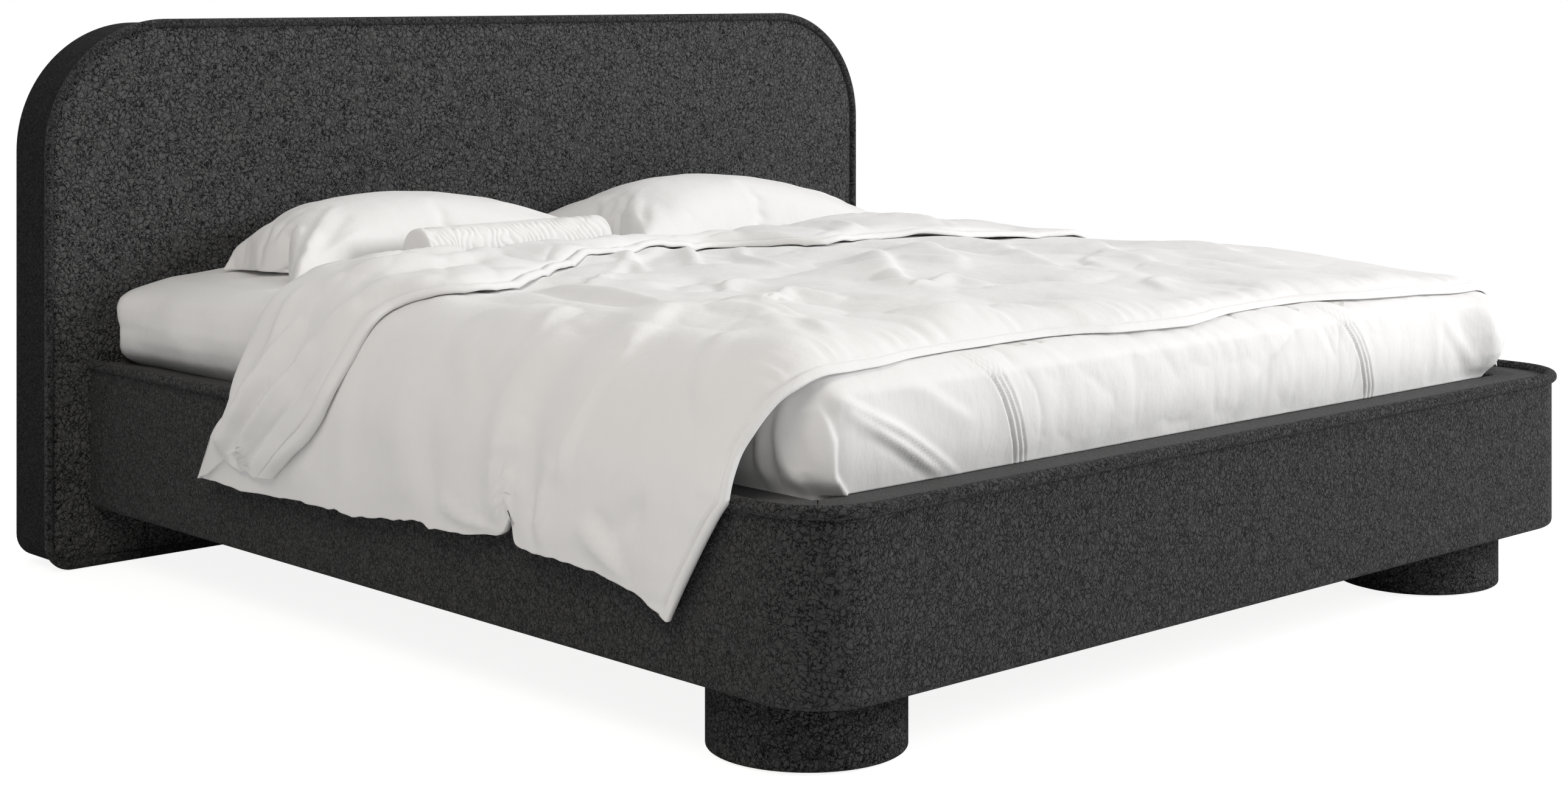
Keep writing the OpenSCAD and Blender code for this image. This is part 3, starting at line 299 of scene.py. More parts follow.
def dressed(obj, material, slot, *nodes):
    """Gives a piece its finish, lets it ride on the bed and stand for its CAD nodes."""
    obj.data.materials.clear()
    obj.data.materials.append(material)
    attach(obj, "bed")
    if nodes:
        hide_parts(*nodes)
    return obj


front = board_plate("headboard_front", board_y + 0.0045, seam_inset)
chosen(front, lambda co: True)
for width, height in [(0.006, 0.0032), (0.009, 0.0018), (0.020, 0.0012)]:
    bpy.ops.mesh.inset(thickness=width, depth=height)
bpy.ops.object.mode_set(mode="OBJECT")
applied(front, "SOLIDIFY", thickness=0.0035, offset=-1)
soft_edges(front, 60)
dressed(front, boucle, "looped_fabric", "headboard_front_cover")

# HEADBOARD BAND AND BACK
# A strip of the same fabric with finer, shallower loops round the board's edge, in a darker grey as
# painted shade. It is folded over the back and stapled, and a black lining cloth covers its hem.
# The band's darker grey is painted shade, for a side that the lamps only graze.
shaded_band_wool = surface("band_wool_painted_shade", looped(112, (0.031, 0.031, 0.032), 0.0040), **band_drum_pile)


def end_face(obj, x, y, z):
    """Selects the face of obj farthest along a direction, and returns its normal."""
    bpy.ops.mesh.select_mode(type="FACE")
    mesh = bmesh.from_edit_mesh(obj.data)
    mesh.normal_update()
    last = max(mesh.faces, key=lambda face: face.calc_center_median().dot(Vector((x, y, z))))
    for face in mesh.faces:
        face.select = face == last
    normal = last.normal.copy()
    bmesh.update_edit_mesh(obj.data)
    return normal


band_width = 0.142
band = board_plate("headboard_side_band", board_y + 0.004, 0)
chosen(band, lambda co: True)
bpy.ops.mesh.extrude_region_move(TRANSFORM_OT_translate={"value": (0, band_width, 0)})
chosen(band, lambda co: co.y > board_y + 0.1)
bpy.ops.mesh.bevel(offset=0.008, segments=4, affect="EDGES")
end_face(band, 0, 1, 0)
bpy.ops.mesh.inset(thickness=0.026, depth=0)
bpy.ops.mesh.delete(type="FACE")
end_face(band, 0, -1, 0)
bpy.ops.mesh.delete(type="FACE")
bpy.ops.mesh.select_all(action="SELECT")
bpy.ops.mesh.normals_make_consistent(inside=False)
if end_face(band, 0, 0, 1).z < 0:
    bpy.ops.mesh.select_all(action="SELECT")
    bpy.ops.mesh.flip_normals()
bpy.ops.mesh.select_mode(type="VERT")
bpy.ops.object.mode_set(mode="OBJECT")
applied(band, "SOLIDIFY", thickness=0.003, offset=-1)
soft_edges(band, 50)
dressed(band, shaded_band_wool, "side_fabric", "headboard_band")


def cad_finish(material, *names):
    """Gives CAD nodes that stay as they are their finish."""
    for name in names:
        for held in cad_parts[name].material_slots:
            held.material = material


def lining(place):
    dots = place.cells(260)
    fibre = place.moved((1, 1, 0.25)).noise(1400, 3.0)
    height = dots.rise(0.0, 0.35) * 0.6 + fibre * 0.4
    colour = (fibre * 0.6 + height * 0.4).tint((0.010, 0.010, 0.011), (0.045, 0.045, 0.048))
    return colour, 0.9, height, 0.0006


cad_finish(surface("lining_felt", lining, Specular_IOR_Level=0.2), "headboard_back_cloth")

# WELTS
# Cords covered in a strip of the same fabric: one sewn round the headboard's front
# edge, the other along the outer edge of the rails' rim, where it stands proud.
def carry(moves):
    """Runs the selected outline along straight moves and turns."""
    for move in moves:
        if len(move) == 3:
            bpy.ops.mesh.extrude_region_move(TRANSFORM_OT_translate={"value": move})
        else:
            centre, axis, angle, steps = move
            bpy.ops.mesh.spin(steps=steps, angle=angle, center=centre, axis=axis)


def swept(name, radius, start, turn, moves):
    """A round bar: a circle run along straight moves and turns."""
    bpy.ops.object.select_all(action="DESELECT")
    bpy.ops.mesh.primitive_circle_add(vertices=20, radius=radius, location=start, rotation=turn)
    bar = bpy.context.object
    bar.name = bar.data.name = name
    bpy.ops.object.transform_apply(location=True, rotation=True, scale=True)
    bpy.ops.object.mode_set(mode="EDIT")
    bpy.ops.mesh.select_mode(type="VERT")
    bpy.ops.mesh.select_all(action="SELECT")
    carry(moves)
    return bar


def turned_out():
    """Turns the faces of the mesh in edit mode outwards and leaves edit mode."""
    bpy.ops.mesh.select_all(action="SELECT")
    bpy.ops.mesh.normals_make_consistent(inside=False)
    bpy.ops.object.mode_set(mode="OBJECT")


def closed():
    """Merges what meets in the mesh in edit mode, and turns its faces outwards."""
    bpy.ops.mesh.select_all(action="SELECT")
    bpy.ops.mesh.remove_doubles(threshold=0.0002)
    turned_out()


# The rails and welts get a darker grey than the headboard's face, though the fabric is the same:
# painted shade.
rail_grey_painted_shade = (0.077, 0.077, 0.079)
rail_wool = surface("rail_wool", looped(98, rail_grey_painted_shade, 0.0052), **open_pile)
half_w = board_w / 2
quarter = math.pi / 2
straight_up = board_top - board_top_r - board_low - board_low_r


def board_turn(sign, height, radius, steps):
    """A quarter turn round one corner of the headboard."""
    return (sign * (half_w - radius), board_y, height), (0, 1, 0), -quarter, steps


board_welt = swept(
    "headboard_edge_welt",
    0.009,
    (-half_w, board_y, board_low + board_low_r),
    (0, 0, 0),
    [
        (0, 0, straight_up),
        board_turn(-1, board_top - board_top_r, board_top_r, 36),
        (board_w - 2 * board_top_r, 0, 0),
        board_turn(1, board_top - board_top_r, board_top_r, 36),
        (0, 0, -straight_up),
        board_turn(1, board_low + board_low_r, board_low_r, 12),
        (-(board_w - 2 * board_low_r), 0, 0),
        board_turn(-1, board_low + board_low_r, board_low_r, 12),
    ],
)
closed()
soft_edges(board_welt, 60)
dressed(board_welt, rail_wool, "side_fabric", "headboard_welt")

rail_x, foot_y, seam_y = 1.050, -1.138, -1.033
corner_r = 0.125
corner_x, corner_y = rail_x - corner_r, foot_y + corner_r
rim_welt_z = 0.415
round_the_bed = [
    (0, corner_y - board_y, 0),
    ((-corner_x, corner_y, 0), (0, 0, 1), -quarter, 24),
    (2 * corner_x, 0, 0),
    ((corner_x, corner_y, 0), (0, 0, 1), -quarter, 24),
    (0, board_y - corner_y, 0),
]


def copied(obj, name):
    """A copy of obj with its own mesh."""
    made = obj.copy()
    made.data = obj.data.copy()
    made.name = made.data.name = name
    bpy.context.scene.collection.objects.link(made)
    return made


def split(whole, name, keep):
    """A copy of the U-shaped whole, cut at the two seams: left, foot or right part."""
    part = copied(whole, name)
    picked(part)
    bpy.ops.object.mode_set(mode="EDIT")
    cuts = [((0, seam_y, 0), (0, 1, 0), keep == "foot")]
    if keep != "foot":
        cuts.append(((0, 0, 0), (1, 0, 0), keep == "left"))
    for place, normal, below in cuts:
        bpy.ops.mesh.select_all(action="SELECT")
        bpy.ops.mesh.bisect(
            plane_co=place, plane_no=normal, clear_outer=below, clear_inner=not below
        )
    bpy.ops.object.mode_set(mode="OBJECT")
    return part


rim = swept(
    "rim_welt", 0.011, (-rail_x + 0.001, board_y, rim_welt_z), (quarter, 0, 0), round_the_bed
)
closed()
for side in ("left", "foot", "right"):
    piece = split(rim, f"{side}_rim_welt", side)
    soft_edges(piece, 60)
    node = "foot_rail_welt" if side == "foot" else f"side_rail_welt_{side}"
    dressed(piece, rail_wool, "side_fabric", node)
bpy.data.objects.remove(rim)

# RAIL COVERS
# Two side rails and a foot rail, each wrapped in wadding and looped fabric that is rubbed
# flat on top. The covers meet at an upright seam by each foot corner.
rail_low, rim_z = 0.122, 0.413
side_rim, foot_rim = 0.114, 0.120
bpy.ops.object.select_all(action="DESELECT")
bpy.ops.mesh.primitive_plane_add(
    size=1,
    location=(-rail_x + side_rim / 2, board_y, (rail_low + rim_z) / 2),
    rotation=(quarter, 0, 0),
)
rails = bpy.context.object
rails.scale = (side_rim, rim_z - rail_low, 1)
bpy.ops.object.transform_apply(location=True, rotation=True, scale=True)
bpy.ops.object.mode_set(mode="EDIT")
bpy.ops.mesh.select_mode(type="VERT")
middle = -rail_x + side_rim / 2
for outer, low, radius in [(1, 1, 0.012), (0, 1, 0.008), (0, 0, 0.011), (1, 0, 0.005)]:
    chosen(
        rails,
        lambda co: (co.x < middle) == bool(outer) and (co.z < 0.2) == bool(low)
        and (co.z < 0.14 or co.z > 0.4),
    )
    bpy.ops.mesh.bevel(offset=radius, segments=4, affect="VERTICES", clamp_overlap=False)
bpy.ops.mesh.select_all(action="SELECT")
bpy.ops.mesh.delete(type="ONLY_FACE")
bpy.ops.mesh.select_all(action="SELECT")
carry(round_the_bed)
chosen(rails, lambda co: co.y < corner_y + 0.001 and co.y > foot_y + 0.09 and abs(co.x) < 0.94)
bpy.ops.transform.translate(value=(0, foot_rim - side_rim, 0))
closed()
rubbed_from = rim_z - 0.004
rubbed_wool = surface(
    "rubbed_wool", looped(98, rail_grey_painted_shade, 0.0052, rubbed_from), **open_pile
)
for side in ("left", "foot", "right"):
    node = "foot_rail_cover" if side == "foot" else f"side_rail_cover_{side}"
    piece = split(rails, f"{side}_rail_fabric", side)
    applied(piece, "SOLIDIFY", thickness=0.005, offset=-1)
    applied(piece, "BEVEL", width=0.0022, segments=3, limit_method="ANGLE", angle_limit=1.2)
    soft_edges(piece, 50)
    dressed(piece, rubbed_wool, "side_fabric", node)
bpy.data.objects.remove(rails)

# DRUM FEET
# Round timber blocks under the foot corners, wrapped in looped fabric that is turned
# under at the floor, each on a plastic glide disc.
# The drums' grey is set lighter than the rails' as painted light, where the rails above shade them.
drum_wool_painted_light = surface("drum_wool_painted_light", looped(112, (0.088, 0.088, 0.090), 0.0042), **band_drum_pile)
drum_r, drum_x, drum_y, drum_gap = 0.159, 0.845, -0.903, 0.003
for side, sign in (("left", -1), ("right", 1)):
    bpy.ops.object.select_all(action="DESELECT")
    bpy.ops.mesh.primitive_cylinder_add(
        vertices=128,
        radius=drum_r,
        depth=rail_low - drum_gap,
        location=(sign * drum_x, drum_y, (rail_low + drum_gap) / 2),
    )
    drum = bpy.context.object
    drum.name = drum.data.name = f"{side}_drum_fabric"
    bpy.ops.object.transform_apply(location=True, rotation=True, scale=True)
    bpy.ops.object.mode_set(mode="EDIT")
    end_face(drum, 0, 0, 1)
    bpy.ops.mesh.delete(type="FACE")
    end_face(drum, 0, 0, -1)
    bpy.ops.mesh.inset(thickness=0.010, depth=0)
    bpy.ops.mesh.delete(type="FACE")
    bpy.ops.object.mode_set(mode="OBJECT")
    applied(drum, "BEVEL", width=0.0045, segments=4, limit_method="ANGLE", angle_limit=1.0)
    applied(drum, "SOLIDIFY", thickness=0.004, offset=-1)
    soft_edges(drum, 50)
    dressed(drum, drum_wool_painted_light, "side_fabric", f"drum_cover_{side}")


def moulded(place):
    grain = place.noise(900, 2.0)
    scuff = place.moved((6, 1, 1)).noise(40, 4.0)
    colour = (grain * 0.5 + scuff * 0.5).tint((0.008, 0.008, 0.009), (0.028, 0.028, 0.030))
    return colour, scuff * 0.3 + 0.4, grain, 0.0003


glide_plastic = surface("glide_plastic", moulded)
cad_finish(glide_plastic, "headboard_glides", "drum_glide_left", "drum_glide_right")


# TIMBER AND BOARDS
# The frame is sawn pine, the rails are hollow boxes of plywood, the corners are solid
# pine blocks, and hardboard closes the headboard's back. They are glued and screwed.
def wood(along, light, dark, ring=9.0):
    """Grain that runs along one axis: 0 is X, 1 is Y and 2 is Z."""

    def make(place):
        drawn = place.moved(tuple(0.06 if axis == along else 1.0 for axis in range(3)))
        bands = drawn.warped(7, 0.05).noise(ring, 3.0, 0.6)
        fine = drawn.noise(260, 3.0)
        pores = place.moved(tuple(0.02 if axis == along else 1.0 for axis in range(3)))
        pores = pores.noise(600, 1.0).rise(0.58, 0.68)
        grain = bands.math("PINGPONG", bands * 14.0, 1.0)
        tone = grain * 0.45 + fine * 0.45 + place.noise(3, 2.0) * 0.25 - pores * 0.2
        return tone.tint(dark, light), fine * 0.25 + 0.5, fine - pores * 0.6, 0.0004

    return make


pine_tones = (0.66, 0.46, 0.26), (0.42, 0.25, 0.12)
ply_tones = (0.70, 0.54, 0.34), (0.50, 0.34, 0.18)
for name, finish, nodes in [
    ("frame_pine", wood(0, *pine_tones), ["headboard_frame"]),
    ("block_pine", wood(2, *pine_tones),
     ["corner_block_left", "corner_block_right", "drum_core_left", "drum_core_right"]),
    ("rail_plywood", wood(1, *ply_tones, 5.0),
     ["side_rail_core_left", "side_rail_core_right", "corner_board_left", "corner_board_right"]),
    ("foot_plywood", wood(0, *ply_tones, 5.0), ["foot_rail_core", "headboard_face_board"]),
]:
    cad_finish(surface(name, finish), *nodes)


def pressed_board(place):
    chips = place.noise(420, 3.0)
    tone = chips * 0.7 + place.noise(30, 2.0) * 0.4
    colour = tone.tint((0.10, 0.055, 0.028), (0.27, 0.16, 0.085))
    return colour, 0.7, chips, 0.0003


cad_finish(surface("hardboard", pressed_board), "headboard_back_board")


def open_foam(place):
    pores = place.cells(520)
    colour = pores.tint((0.55, 0.47, 0.26), (0.80, 0.74, 0.50))
    return colour, 0.95, pores, 0.0010


cad_finish(surface("cut_foam", open_foam), "headboard_foam")

# SLAT SUPPORT
# Ledgers and a beam of sawn spruce carry bowed beech slats in plastic caps. The beam
# sits in steel shoes and on two painted steel legs with levelling feet.
spruce = surface("beam_spruce", wood(1, (0.72, 0.53, 0.31), (0.50, 0.32, 0.16), 12.0))
cad_finish(spruce, "slat_ledger_left", "slat_ledger_right", "centre_beam")
beech = surface("slat_beech", wood(0, (0.76, 0.58, 0.38), (0.60, 0.41, 0.23), 16.0),
                Coat_Weight=0.15)
cad_finish(beech, "slats_left", "slats_right")
cad_finish(surface("holder_plastic", moulded), "slat_holders_left", "slat_holders_right",
           "slat_holders_centre")


def plated(dark, light, rough):
    """Zinc plate: cloudy spangles and fine draw marks."""

    def make(place):
        spangle = place.cells(190)
        marks = place.moved((1, 1, 0.1)).noise(500, 2.0)
        colour = (spangle * 0.5 + marks * 0.5).tint(dark, light)
        return colour, marks * 0.2 + rough, marks, 0.0001

    return make


for name, finish, nodes in [
    ("bracket_zinc", plated((0.40, 0.41, 0.43), (0.66, 0.67, 0.69), 0.32),
     ["bracket_head_left", "bracket_head_right", "bracket_foot_left", "bracket_foot_right",
      "beam_shoe_head", "beam_shoe_foot"]),
    ("bolt_zinc", plated((0.50, 0.50, 0.51), (0.74, 0.74, 0.75), 0.24),
     ["bracket_bolts", "beam_bolts", "drum_bolts", "levelling_foot_front",
      "levelling_foot_rear"]),
    ("screw_brass_plate", plated((0.55, 0.42, 0.18), (0.76, 0.62, 0.33), 0.26),
     ["ledger_screws", "leg_screws"]),
]:
    cad_finish(surface(name, finish, Metallic=1.0), *nodes)


def powder_coat(place):
    peel = place.noise(700, 2.0)
    tone = peel * 0.6 + place.noise(20) * 0.5
    colour = tone.tint((0.010, 0.010, 0.011), (0.040, 0.040, 0.043))
    return colour, peel * 0.2 + 0.38, peel, 0.0003


cad_finish(surface("leg_powder_coat", powder_coat), "centre_leg_front", "centre_leg_rear")

# MATTRESS
# A sprung mattress in knitted ticking with a taped edge round its top and its bottom.
# It is quilted in lozenges, and lies on the slats inside the rails.
mattress_half = (930.0, 1004.0)
mattress_y, mattress_low, mattress_h = -9.0, 350.3, 246.5
corner, top_r, low_r = 62.0, 36.0, 24.0


def smooth_noise(u, v, seed):
    """Soft random hills, one for each unit of u and v, between -1 and 1."""
    table = np.random.RandomState(seed).uniform(-1, 1, (64, 64))
    i, j = np.floor(u).astype(int), np.floor(v).astype(int)
    a, b = u - i, v - j
    a, b = a * a * (3 - 2 * a), b * b * (3 - 2 * b)

    def at(p, q):
        return table[(i + p) % 64, (j + q) % 64]

    near, far = (at(0, q) * (1 - a) + at(1, q) * a for q in (0, 1))
    return near * (1 - b) + far * b


def step(x, low, high):
    """0 below low and 1 above high, with a soft step between them."""
    t = np.clip((np.asarray(x, float) - low) / (high - low), 0, 1)
    return t * t * (3 - 2 * t)


def box_ring(inset, counts):
    """Points and outward directions round the mattress, drawn in by inset.

    counts has, for the four sides and the four corners, how many points they get."""
    half_x, half_y = mattress_half[0] - inset, mattress_half[1] - inset
    radius = max(corner - inset, 0.5)
    sides, turns = counts
    signs = [(1, 1), (-1, 1), (-1, -1), (1, -1)]
    rows = []
    for k in range(4):
        here = np.array(signs[k]) * (half_x - radius, half_y - radius)
        there = np.array(signs[(k + 1) % 4]) * (half_x - radius, half_y - radius)
        angles = np.radians(90 * k + np.linspace(0, 90, turns[k], endpoint=False))
        way = np.stack([np.cos(angles), np.sin(angles)], 1)
        rows.append(np.hstack([here + radius * way, way]))
        end = np.radians(90 * (k + 1))
        way = np.array([math.cos(end), math.sin(end)])
        share = sides[k]
        if np.isscalar(share):
            share = np.linspace(0, 1, share, endpoint=False)
        side = here + (there - here) * share[:, None] + radius * way
        rows.append(np.hstack([side, np.repeat(way[None], len(share), 0)]))
    ring = np.vstack(rows)
    ring[:, 1] += mattress_y
    return ring


def mesh_piece(name, points, faces):
    """A smooth piece from points in millimetres."""
    mesh = bpy.data.meshes.new(name)
    corners = [list(map(int, face)) for face in faces]
    mesh.from_pydata((np.asarray(points) * 0.001).tolist(), [], corners)
    mesh.validate()
    made = bpy.data.objects.new(name, mesh)
    bpy.context.scene.collection.objects.link(made)
    picked(made)
    bpy.ops.object.shade_smooth()
    return made


def loft(rings_n, n, cap_low=True):
    """Faces between rings of n points each, with an end cap, and one at the start."""
    j = np.arange(n)
    k = (j + 1) % n
    faces = []
    for i in range(rings_n - 1):
        faces += np.stack([i * n + j, i * n + k, (i + 1) * n + k, (i + 1) * n + j], 1).tolist()
    if cap_low:
        faces.append(j[::-1].tolist())
    faces.append((j + (rings_n - 1) * n).tolist())
    return faces


counts = (60, 64, 60, 64), (8, 8, 8, 8)
profile = [(800, 0), (600, 0), (300, 0), (150, 0), (80, 0), (40, 0)]
for angle in np.radians(np.linspace(0, 90, 7)):
    profile.append((low_r - low_r * math.sin(angle), low_r - low_r * math.cos(angle)))
tape = [(-2.0, 27), (-3.5, 30), (-2.0, 33)]
profile += tape + [(1, 36), (2.5, 80), (3, 123), (2.5, 170), (1, 203)]
profile += [(inset, height + 179) for inset, height in tape]
high_side = mattress_h - top_r
for angle in np.radians(np.linspace(0, 90, 7)):
    profile.append((top_r - top_r * math.cos(angle), high_side + top_r * math.sin(angle)))
profile += [(60, 243), (110, 246), (300, mattress_h), (600, mattress_h), (800, mattress_h)]
points = []
for inset, height in profile:
    ring = box_ring(max(inset, -3.5), counts)
    quilt = np.abs(np.sin(ring[:, 0] * 0.02) * np.sin(ring[:, 1] * 0.02)) * 3.0
    under = quilt * (inset > low_r and height == 0)
    soft = 20 * step(-ring[:, 0], 640, 800) * step(ring[:, 1], 300, 800)
    soft += 17 * step(ring[:, 0], 560, 860) * step(-ring[:, 1], 600, 900)
    lift = under - soft * (height > 200)
    points.append(np.column_stack([ring[:, :2], mattress_low + height + lift]))
mattress = mesh_piece("mattress_body", np.vstack(points), loft(len(profile), len(points[0])))


def ticking(place):
    knit = place.cells(700)
    lozenge = place.warped(2, 0.004).cells(14, "DISTANCE_TO_EDGE").rise(0.0, 0.12)
    height = knit * 0.2 + lozenge * 1.0
    colour = (knit * 0.5 + lozenge * 0.5).tint((0.60, 0.60, 0.58), (0.82, 0.81, 0.79))
    return colour, 0.85, height, 0.0020


dressed(mattress, surface("knit_ticking", ticking), "ticking", "mattress")


# FITTED SHEET
# White cotton sateen stretched over the mattress, gathered by elastic under it. Panels
# are joined by upright seams with three rows of stitching, and the corner is pleated.
def cotton(place):
    weave = place.noise(2600, 1.0)
    creases = place.moved((1, 1, 0.5)).warped(9, 0.03).noise(30, 4.0, 0.55)
    slow = place.noise(3.5, 2.0)
    # The fine creases also set the colour: lighter on their backs, darker in their hollows, as
    # painted shade.
    tone = slow * 0.5 + creases * 0.3 + weave * 0.2
    return tone.tint((0.81, 0.805, 0.80), (0.875, 0.872, 0.868)), 0.7, creases + weave * 0.04, 0.0022


sateen = surface("cotton_sateen", cotton, Sheen_Weight=0.08, Specular_IOR_Level=0.3)


def table(rows, x, width=12):
    """Reads a smoothed curve through the rows at x."""
    rows = np.array(rows, float)
    fine = np.linspace(rows[0, 0], rows[-1, 0], 900)
    values = np.interp(fine, rows[:, 0], rows[:, 1])
    window = np.hanning(2 * width + 1)
    padded = np.pad(values, width, mode="edge")
    values = np.convolve(padded, window / window.sum(), "valid")
    return np.interp(x, fine, values)


def strokes(u, v, lines):
    """Height of fold lines: each has a height, a width on either side and its points."""
    total = np.zeros_like(u)
    for height, left, right, line in lines:
        line = np.array(line, float)
        reach = 2.6 * max(left, right)
        low, high = line.min(0) - reach, line.max(0) + reach
        here = (u > low[0]) & (u < high[0]) & (v > low[1]) & (v < high[1])
        if not here.any():
            continue
        p, q = u[here], v[here]
        lengths = np.hypot(*np.diff(line, axis=0).T)
        run = np.r_[0, np.cumsum(lengths)]
        near = np.full(p.shape, 1e9)
        signed = np.zeros_like(p)
        along = np.zeros_like(p)
        for k in range(len(line) - 1):
            d = line[k + 1] - line[k]
            t = np.clip(((p - line[k, 0]) * d[0] + (q - line[k, 1]) * d[1]) / (d @ d), 0, 1)
            du, dv = p - line[k, 0] - t * d[0], q - line[k, 1] - t * d[1]
            far = np.hypot(du, dv)
            better = far < near
            near = np.where(better, far, near)
            signed = np.where(better, np.sign(d[0] * dv - d[1] * du), signed)
            along = np.where(better, (run[k] + t * lengths[k]) / run[-1], along)
        width = np.where(signed > 0, left, right)
        taper = np.sqrt(np.clip(np.sin(np.pi * np.clip(along, 0.0, 1.0)), 0, 1))
        total[here] += height * taper * np.exp(-((near / width) ** 2))
    return total


def crumple(u, v, seed):
    """Folds with round backs and sharp valleys, about one for each unit of u."""
    hills = smooth_noise(u, v, seed)
    return np.sqrt(np.abs(hills)) - 0.5


def sag(x, y):
    """How far the sheet's top drops towards the near head and the far foot corner."""
    head = 16 * step(-x, 660, 900) * step(y, 250, 850)
    return head + 13 * step(x, 600, 900) * step(-y, 640, 940)


sheet_out = 2.8
low_turn, high_turn = low_r + sheet_out, top_r + sheet_out
profile = [(45.0, -sheet_out), (32.0, -sheet_out)]
for angle in np.radians(np.linspace(0, 90, 5)):
    profile.append((low_r - low_turn * math.sin(angle), low_r - low_turn * math.cos(angle)))
for height in np.r_[386, 398, 406, 412.6, 413.8, 416, 419.5, np.linspace(424, 560.8, 29)[:-1]]:
    profile.append((-sheet_out, height - mattress_low))
for angle in np.radians(np.linspace(0, 90, 9)):
    profile.append((top_r - high_turn * math.cos(angle), high_side + high_turn * math.sin(angle)))
inward = top_r + np.cumsum([9, 11, 13, 15, 17, 20, 24, 30, 40, 60, 100, 160, 240])
profile += [(inset, mattress_h + sheet_out) for inset in inward]
# the points along the foot stand closer together at the two seams
along_foot = np.linspace(-868, 868, 2000)
dense = 1 + 2.6 * sum(step(np.abs(along_foot - seam_x), 105, 85) for seam_x in (-538, 424))
dense = np.r_[0, np.cumsum(dense)]
even_steps = np.linspace(0, dense[-1], 381)[:-1]
foot_share = np.interp(even_steps, dense, np.linspace(0, 1, len(dense)))
left_share = [np.linspace(a, b, 46, endpoint=False) for a, b in ((0, 0.92), (0.92, 1))]
counts = (40, np.concatenate(left_share), foot_share, 44), (12, 18, 34, 20)
rings = np.array([box_ring(inset, counts) for inset, _ in profile])
ring_n = rings.shape[1]
cloth, outward = rings[:, :, :3].copy(), rings[:, :, 2:]
cloth[:, :, 2] = mattress_low + np.array(profile)[:, 1:]
depth_in = np.array([max(inset, 0) for inset, _ in profile])[:, None]
x, y, z = cloth[:, :, 0].copy(), cloth[:, :, 1].copy(), cloth[:, :, 2].copy()
rim_up = step(z, 396, 440)
on_side = rim_up * (1 - step(z, 588, 601)) + step(z, 585, 596) * (1 - step(depth_in, 20, 60)) * 0.5
foot_face = step(-outward[:, :, 1], 0.72, 1.0)
near_face = step(-outward[:, :, 0], 0.75, 1.0)
low_part = 1 - step(z, 420, 590)
past_seam = step(x, -560, -470)
panel = past_seam * (1 - 0.35 * step(x, 440, 520)) + 0.22 * (1 - past_seam)
lean = x + 0.0045 * (z - 485) ** 2 + 12 * smooth_noise(x / 90, z / 70, 2)
gathers = crumple(lean / 38, z / 95, 3) * 4.4 + crumple(lean / 74 + 9, z / 160, 4) * 4.2
gathers += crumple(lean / 19, z / 70, 5) * 1.6
bulge = np.sin(np.pi * np.clip((z - 402) / 192, 0, 1)) ** 0.8
tuck = step(z, 412.6, 413.8)
foot_lines = [
    (10, 6, 19, [(-915, 578), (-880, 556), (-828, 528), (-775, 504), (-703, 461), (-619, 405)]),
    (-4, 6, 6, [(-860, 535), (-810, 509), (-755, 483), (-670, 430)]),
    (8, 5, 14, [(-880, 540), (-852, 524), (-791, 490), (-737, 459), (-645, 400)]),
    (-4, 9, 7, [(-840, 500), (-770, 460), (-690, 410)]),
    (5, 9, 22, [(-790, 590), (-700, 552), (-600, 492)]),
    (4, 9, 24, [(690, 592), (762, 530), (850, 430)]),
    (-2, 10, 8, [(720, 540), (800, 450), (830, 408)]),
    (4, 8, 20, [(850, 580), (876, 505), (905, 412)]),
    (5, 8, 20, [(300, 588), (180, 522), (92, 440), (70, 402)]),
]
seams = np.zeros_like(z)
seam_calm = np.ones_like(z)
for seam in (
    [(392, -484), (440, -490), (489, -504), (530, -522), (561, -543), (590, -572), (616, -600)],
    [(392, 494), (440, 489), (489, 474), (530, 452), (561, 424), (590, 390), (616, 350)],
):
    off = x - table(seam, z, 60)
    seams += sum(-5.0 * np.exp(-(((off - row) / 2.4) ** 2)) for row in (-13, 0, 13))
    seams += 4.0 * np.exp(-((off / 24) ** 2))
    seam_calm *= 1 - 0.85 * np.exp(-((off / 30) ** 2))
seams *= rim_up * (1 - step(depth_in, 26, 60))
push = foot_face * on_side * (gathers * panel * seam_calm * (0.7 + 0.3 * low_part))
push += foot_face * tuck * (1 - step(z, 566, 600)) * (9 + 8 * bulge)
push += foot_face * (0.8 * rim_up * strokes(x, z, foot_lines) + seams)
creases = smooth_noise(y / 90, z / 160, 6) * 3.0 + crumple((y + 0.3 * z) / 60, z / 150, 12) * 2.0
push += near_face * on_side * (creases + 15 * bulge)
rest_of = np.clip(1 - foot_face - near_face, 0, 1)
push += rest_of * on_side * 14 * bulge
# the near foot corner: a mitred pleat with gathers on either side of it
turn = 0.62 * (x + 930) - 0.62 * (y + 1013)
near_corner = step(-x, 800, 880) * step(-y, 830, 900) * rim_up
corner_lines = [
    (8, 9, 9, [(-50, 578), (-55, 541), (-67, 501), (-69, 458), (-62, 428), (-58, 398)]),
    (-3, 8, 8, [(-44, 565), (-50, 520), (-52, 465), (-46, 425)]),
    (9, 8, 13, [(-32, 572), (-38, 531), (-40, 500), (-34, 464), (-18, 425), (-12, 396)]),
    (-4, 8, 8, [(-14, 540), (-20, 500), (-12, 455)]),
    (5, 10, 18, [(70, 586), (90, 530), (112, 470)]),
]
pleat = [
    (392, 42), (410, 34), (427, 25), (447, 18), (472, 18), (496, 19), (525, 12), (545, 4), (570, 0),
]
off = turn - table(pleat, z, 30)
flap = (4 + 22 * (1 - step(z, 400, 540))) * (1 - step(z, 540, 566))
flap *= np.where(off < 0, np.exp(-((off / 34) ** 2)), np.exp(-((off / 2.6) ** 2)))
push += near_corner * (strokes(turn, z, corner_lines) + flap - 2)
far_corner = step(x, 780, 925) * step(-y, 860, 980) * on_side
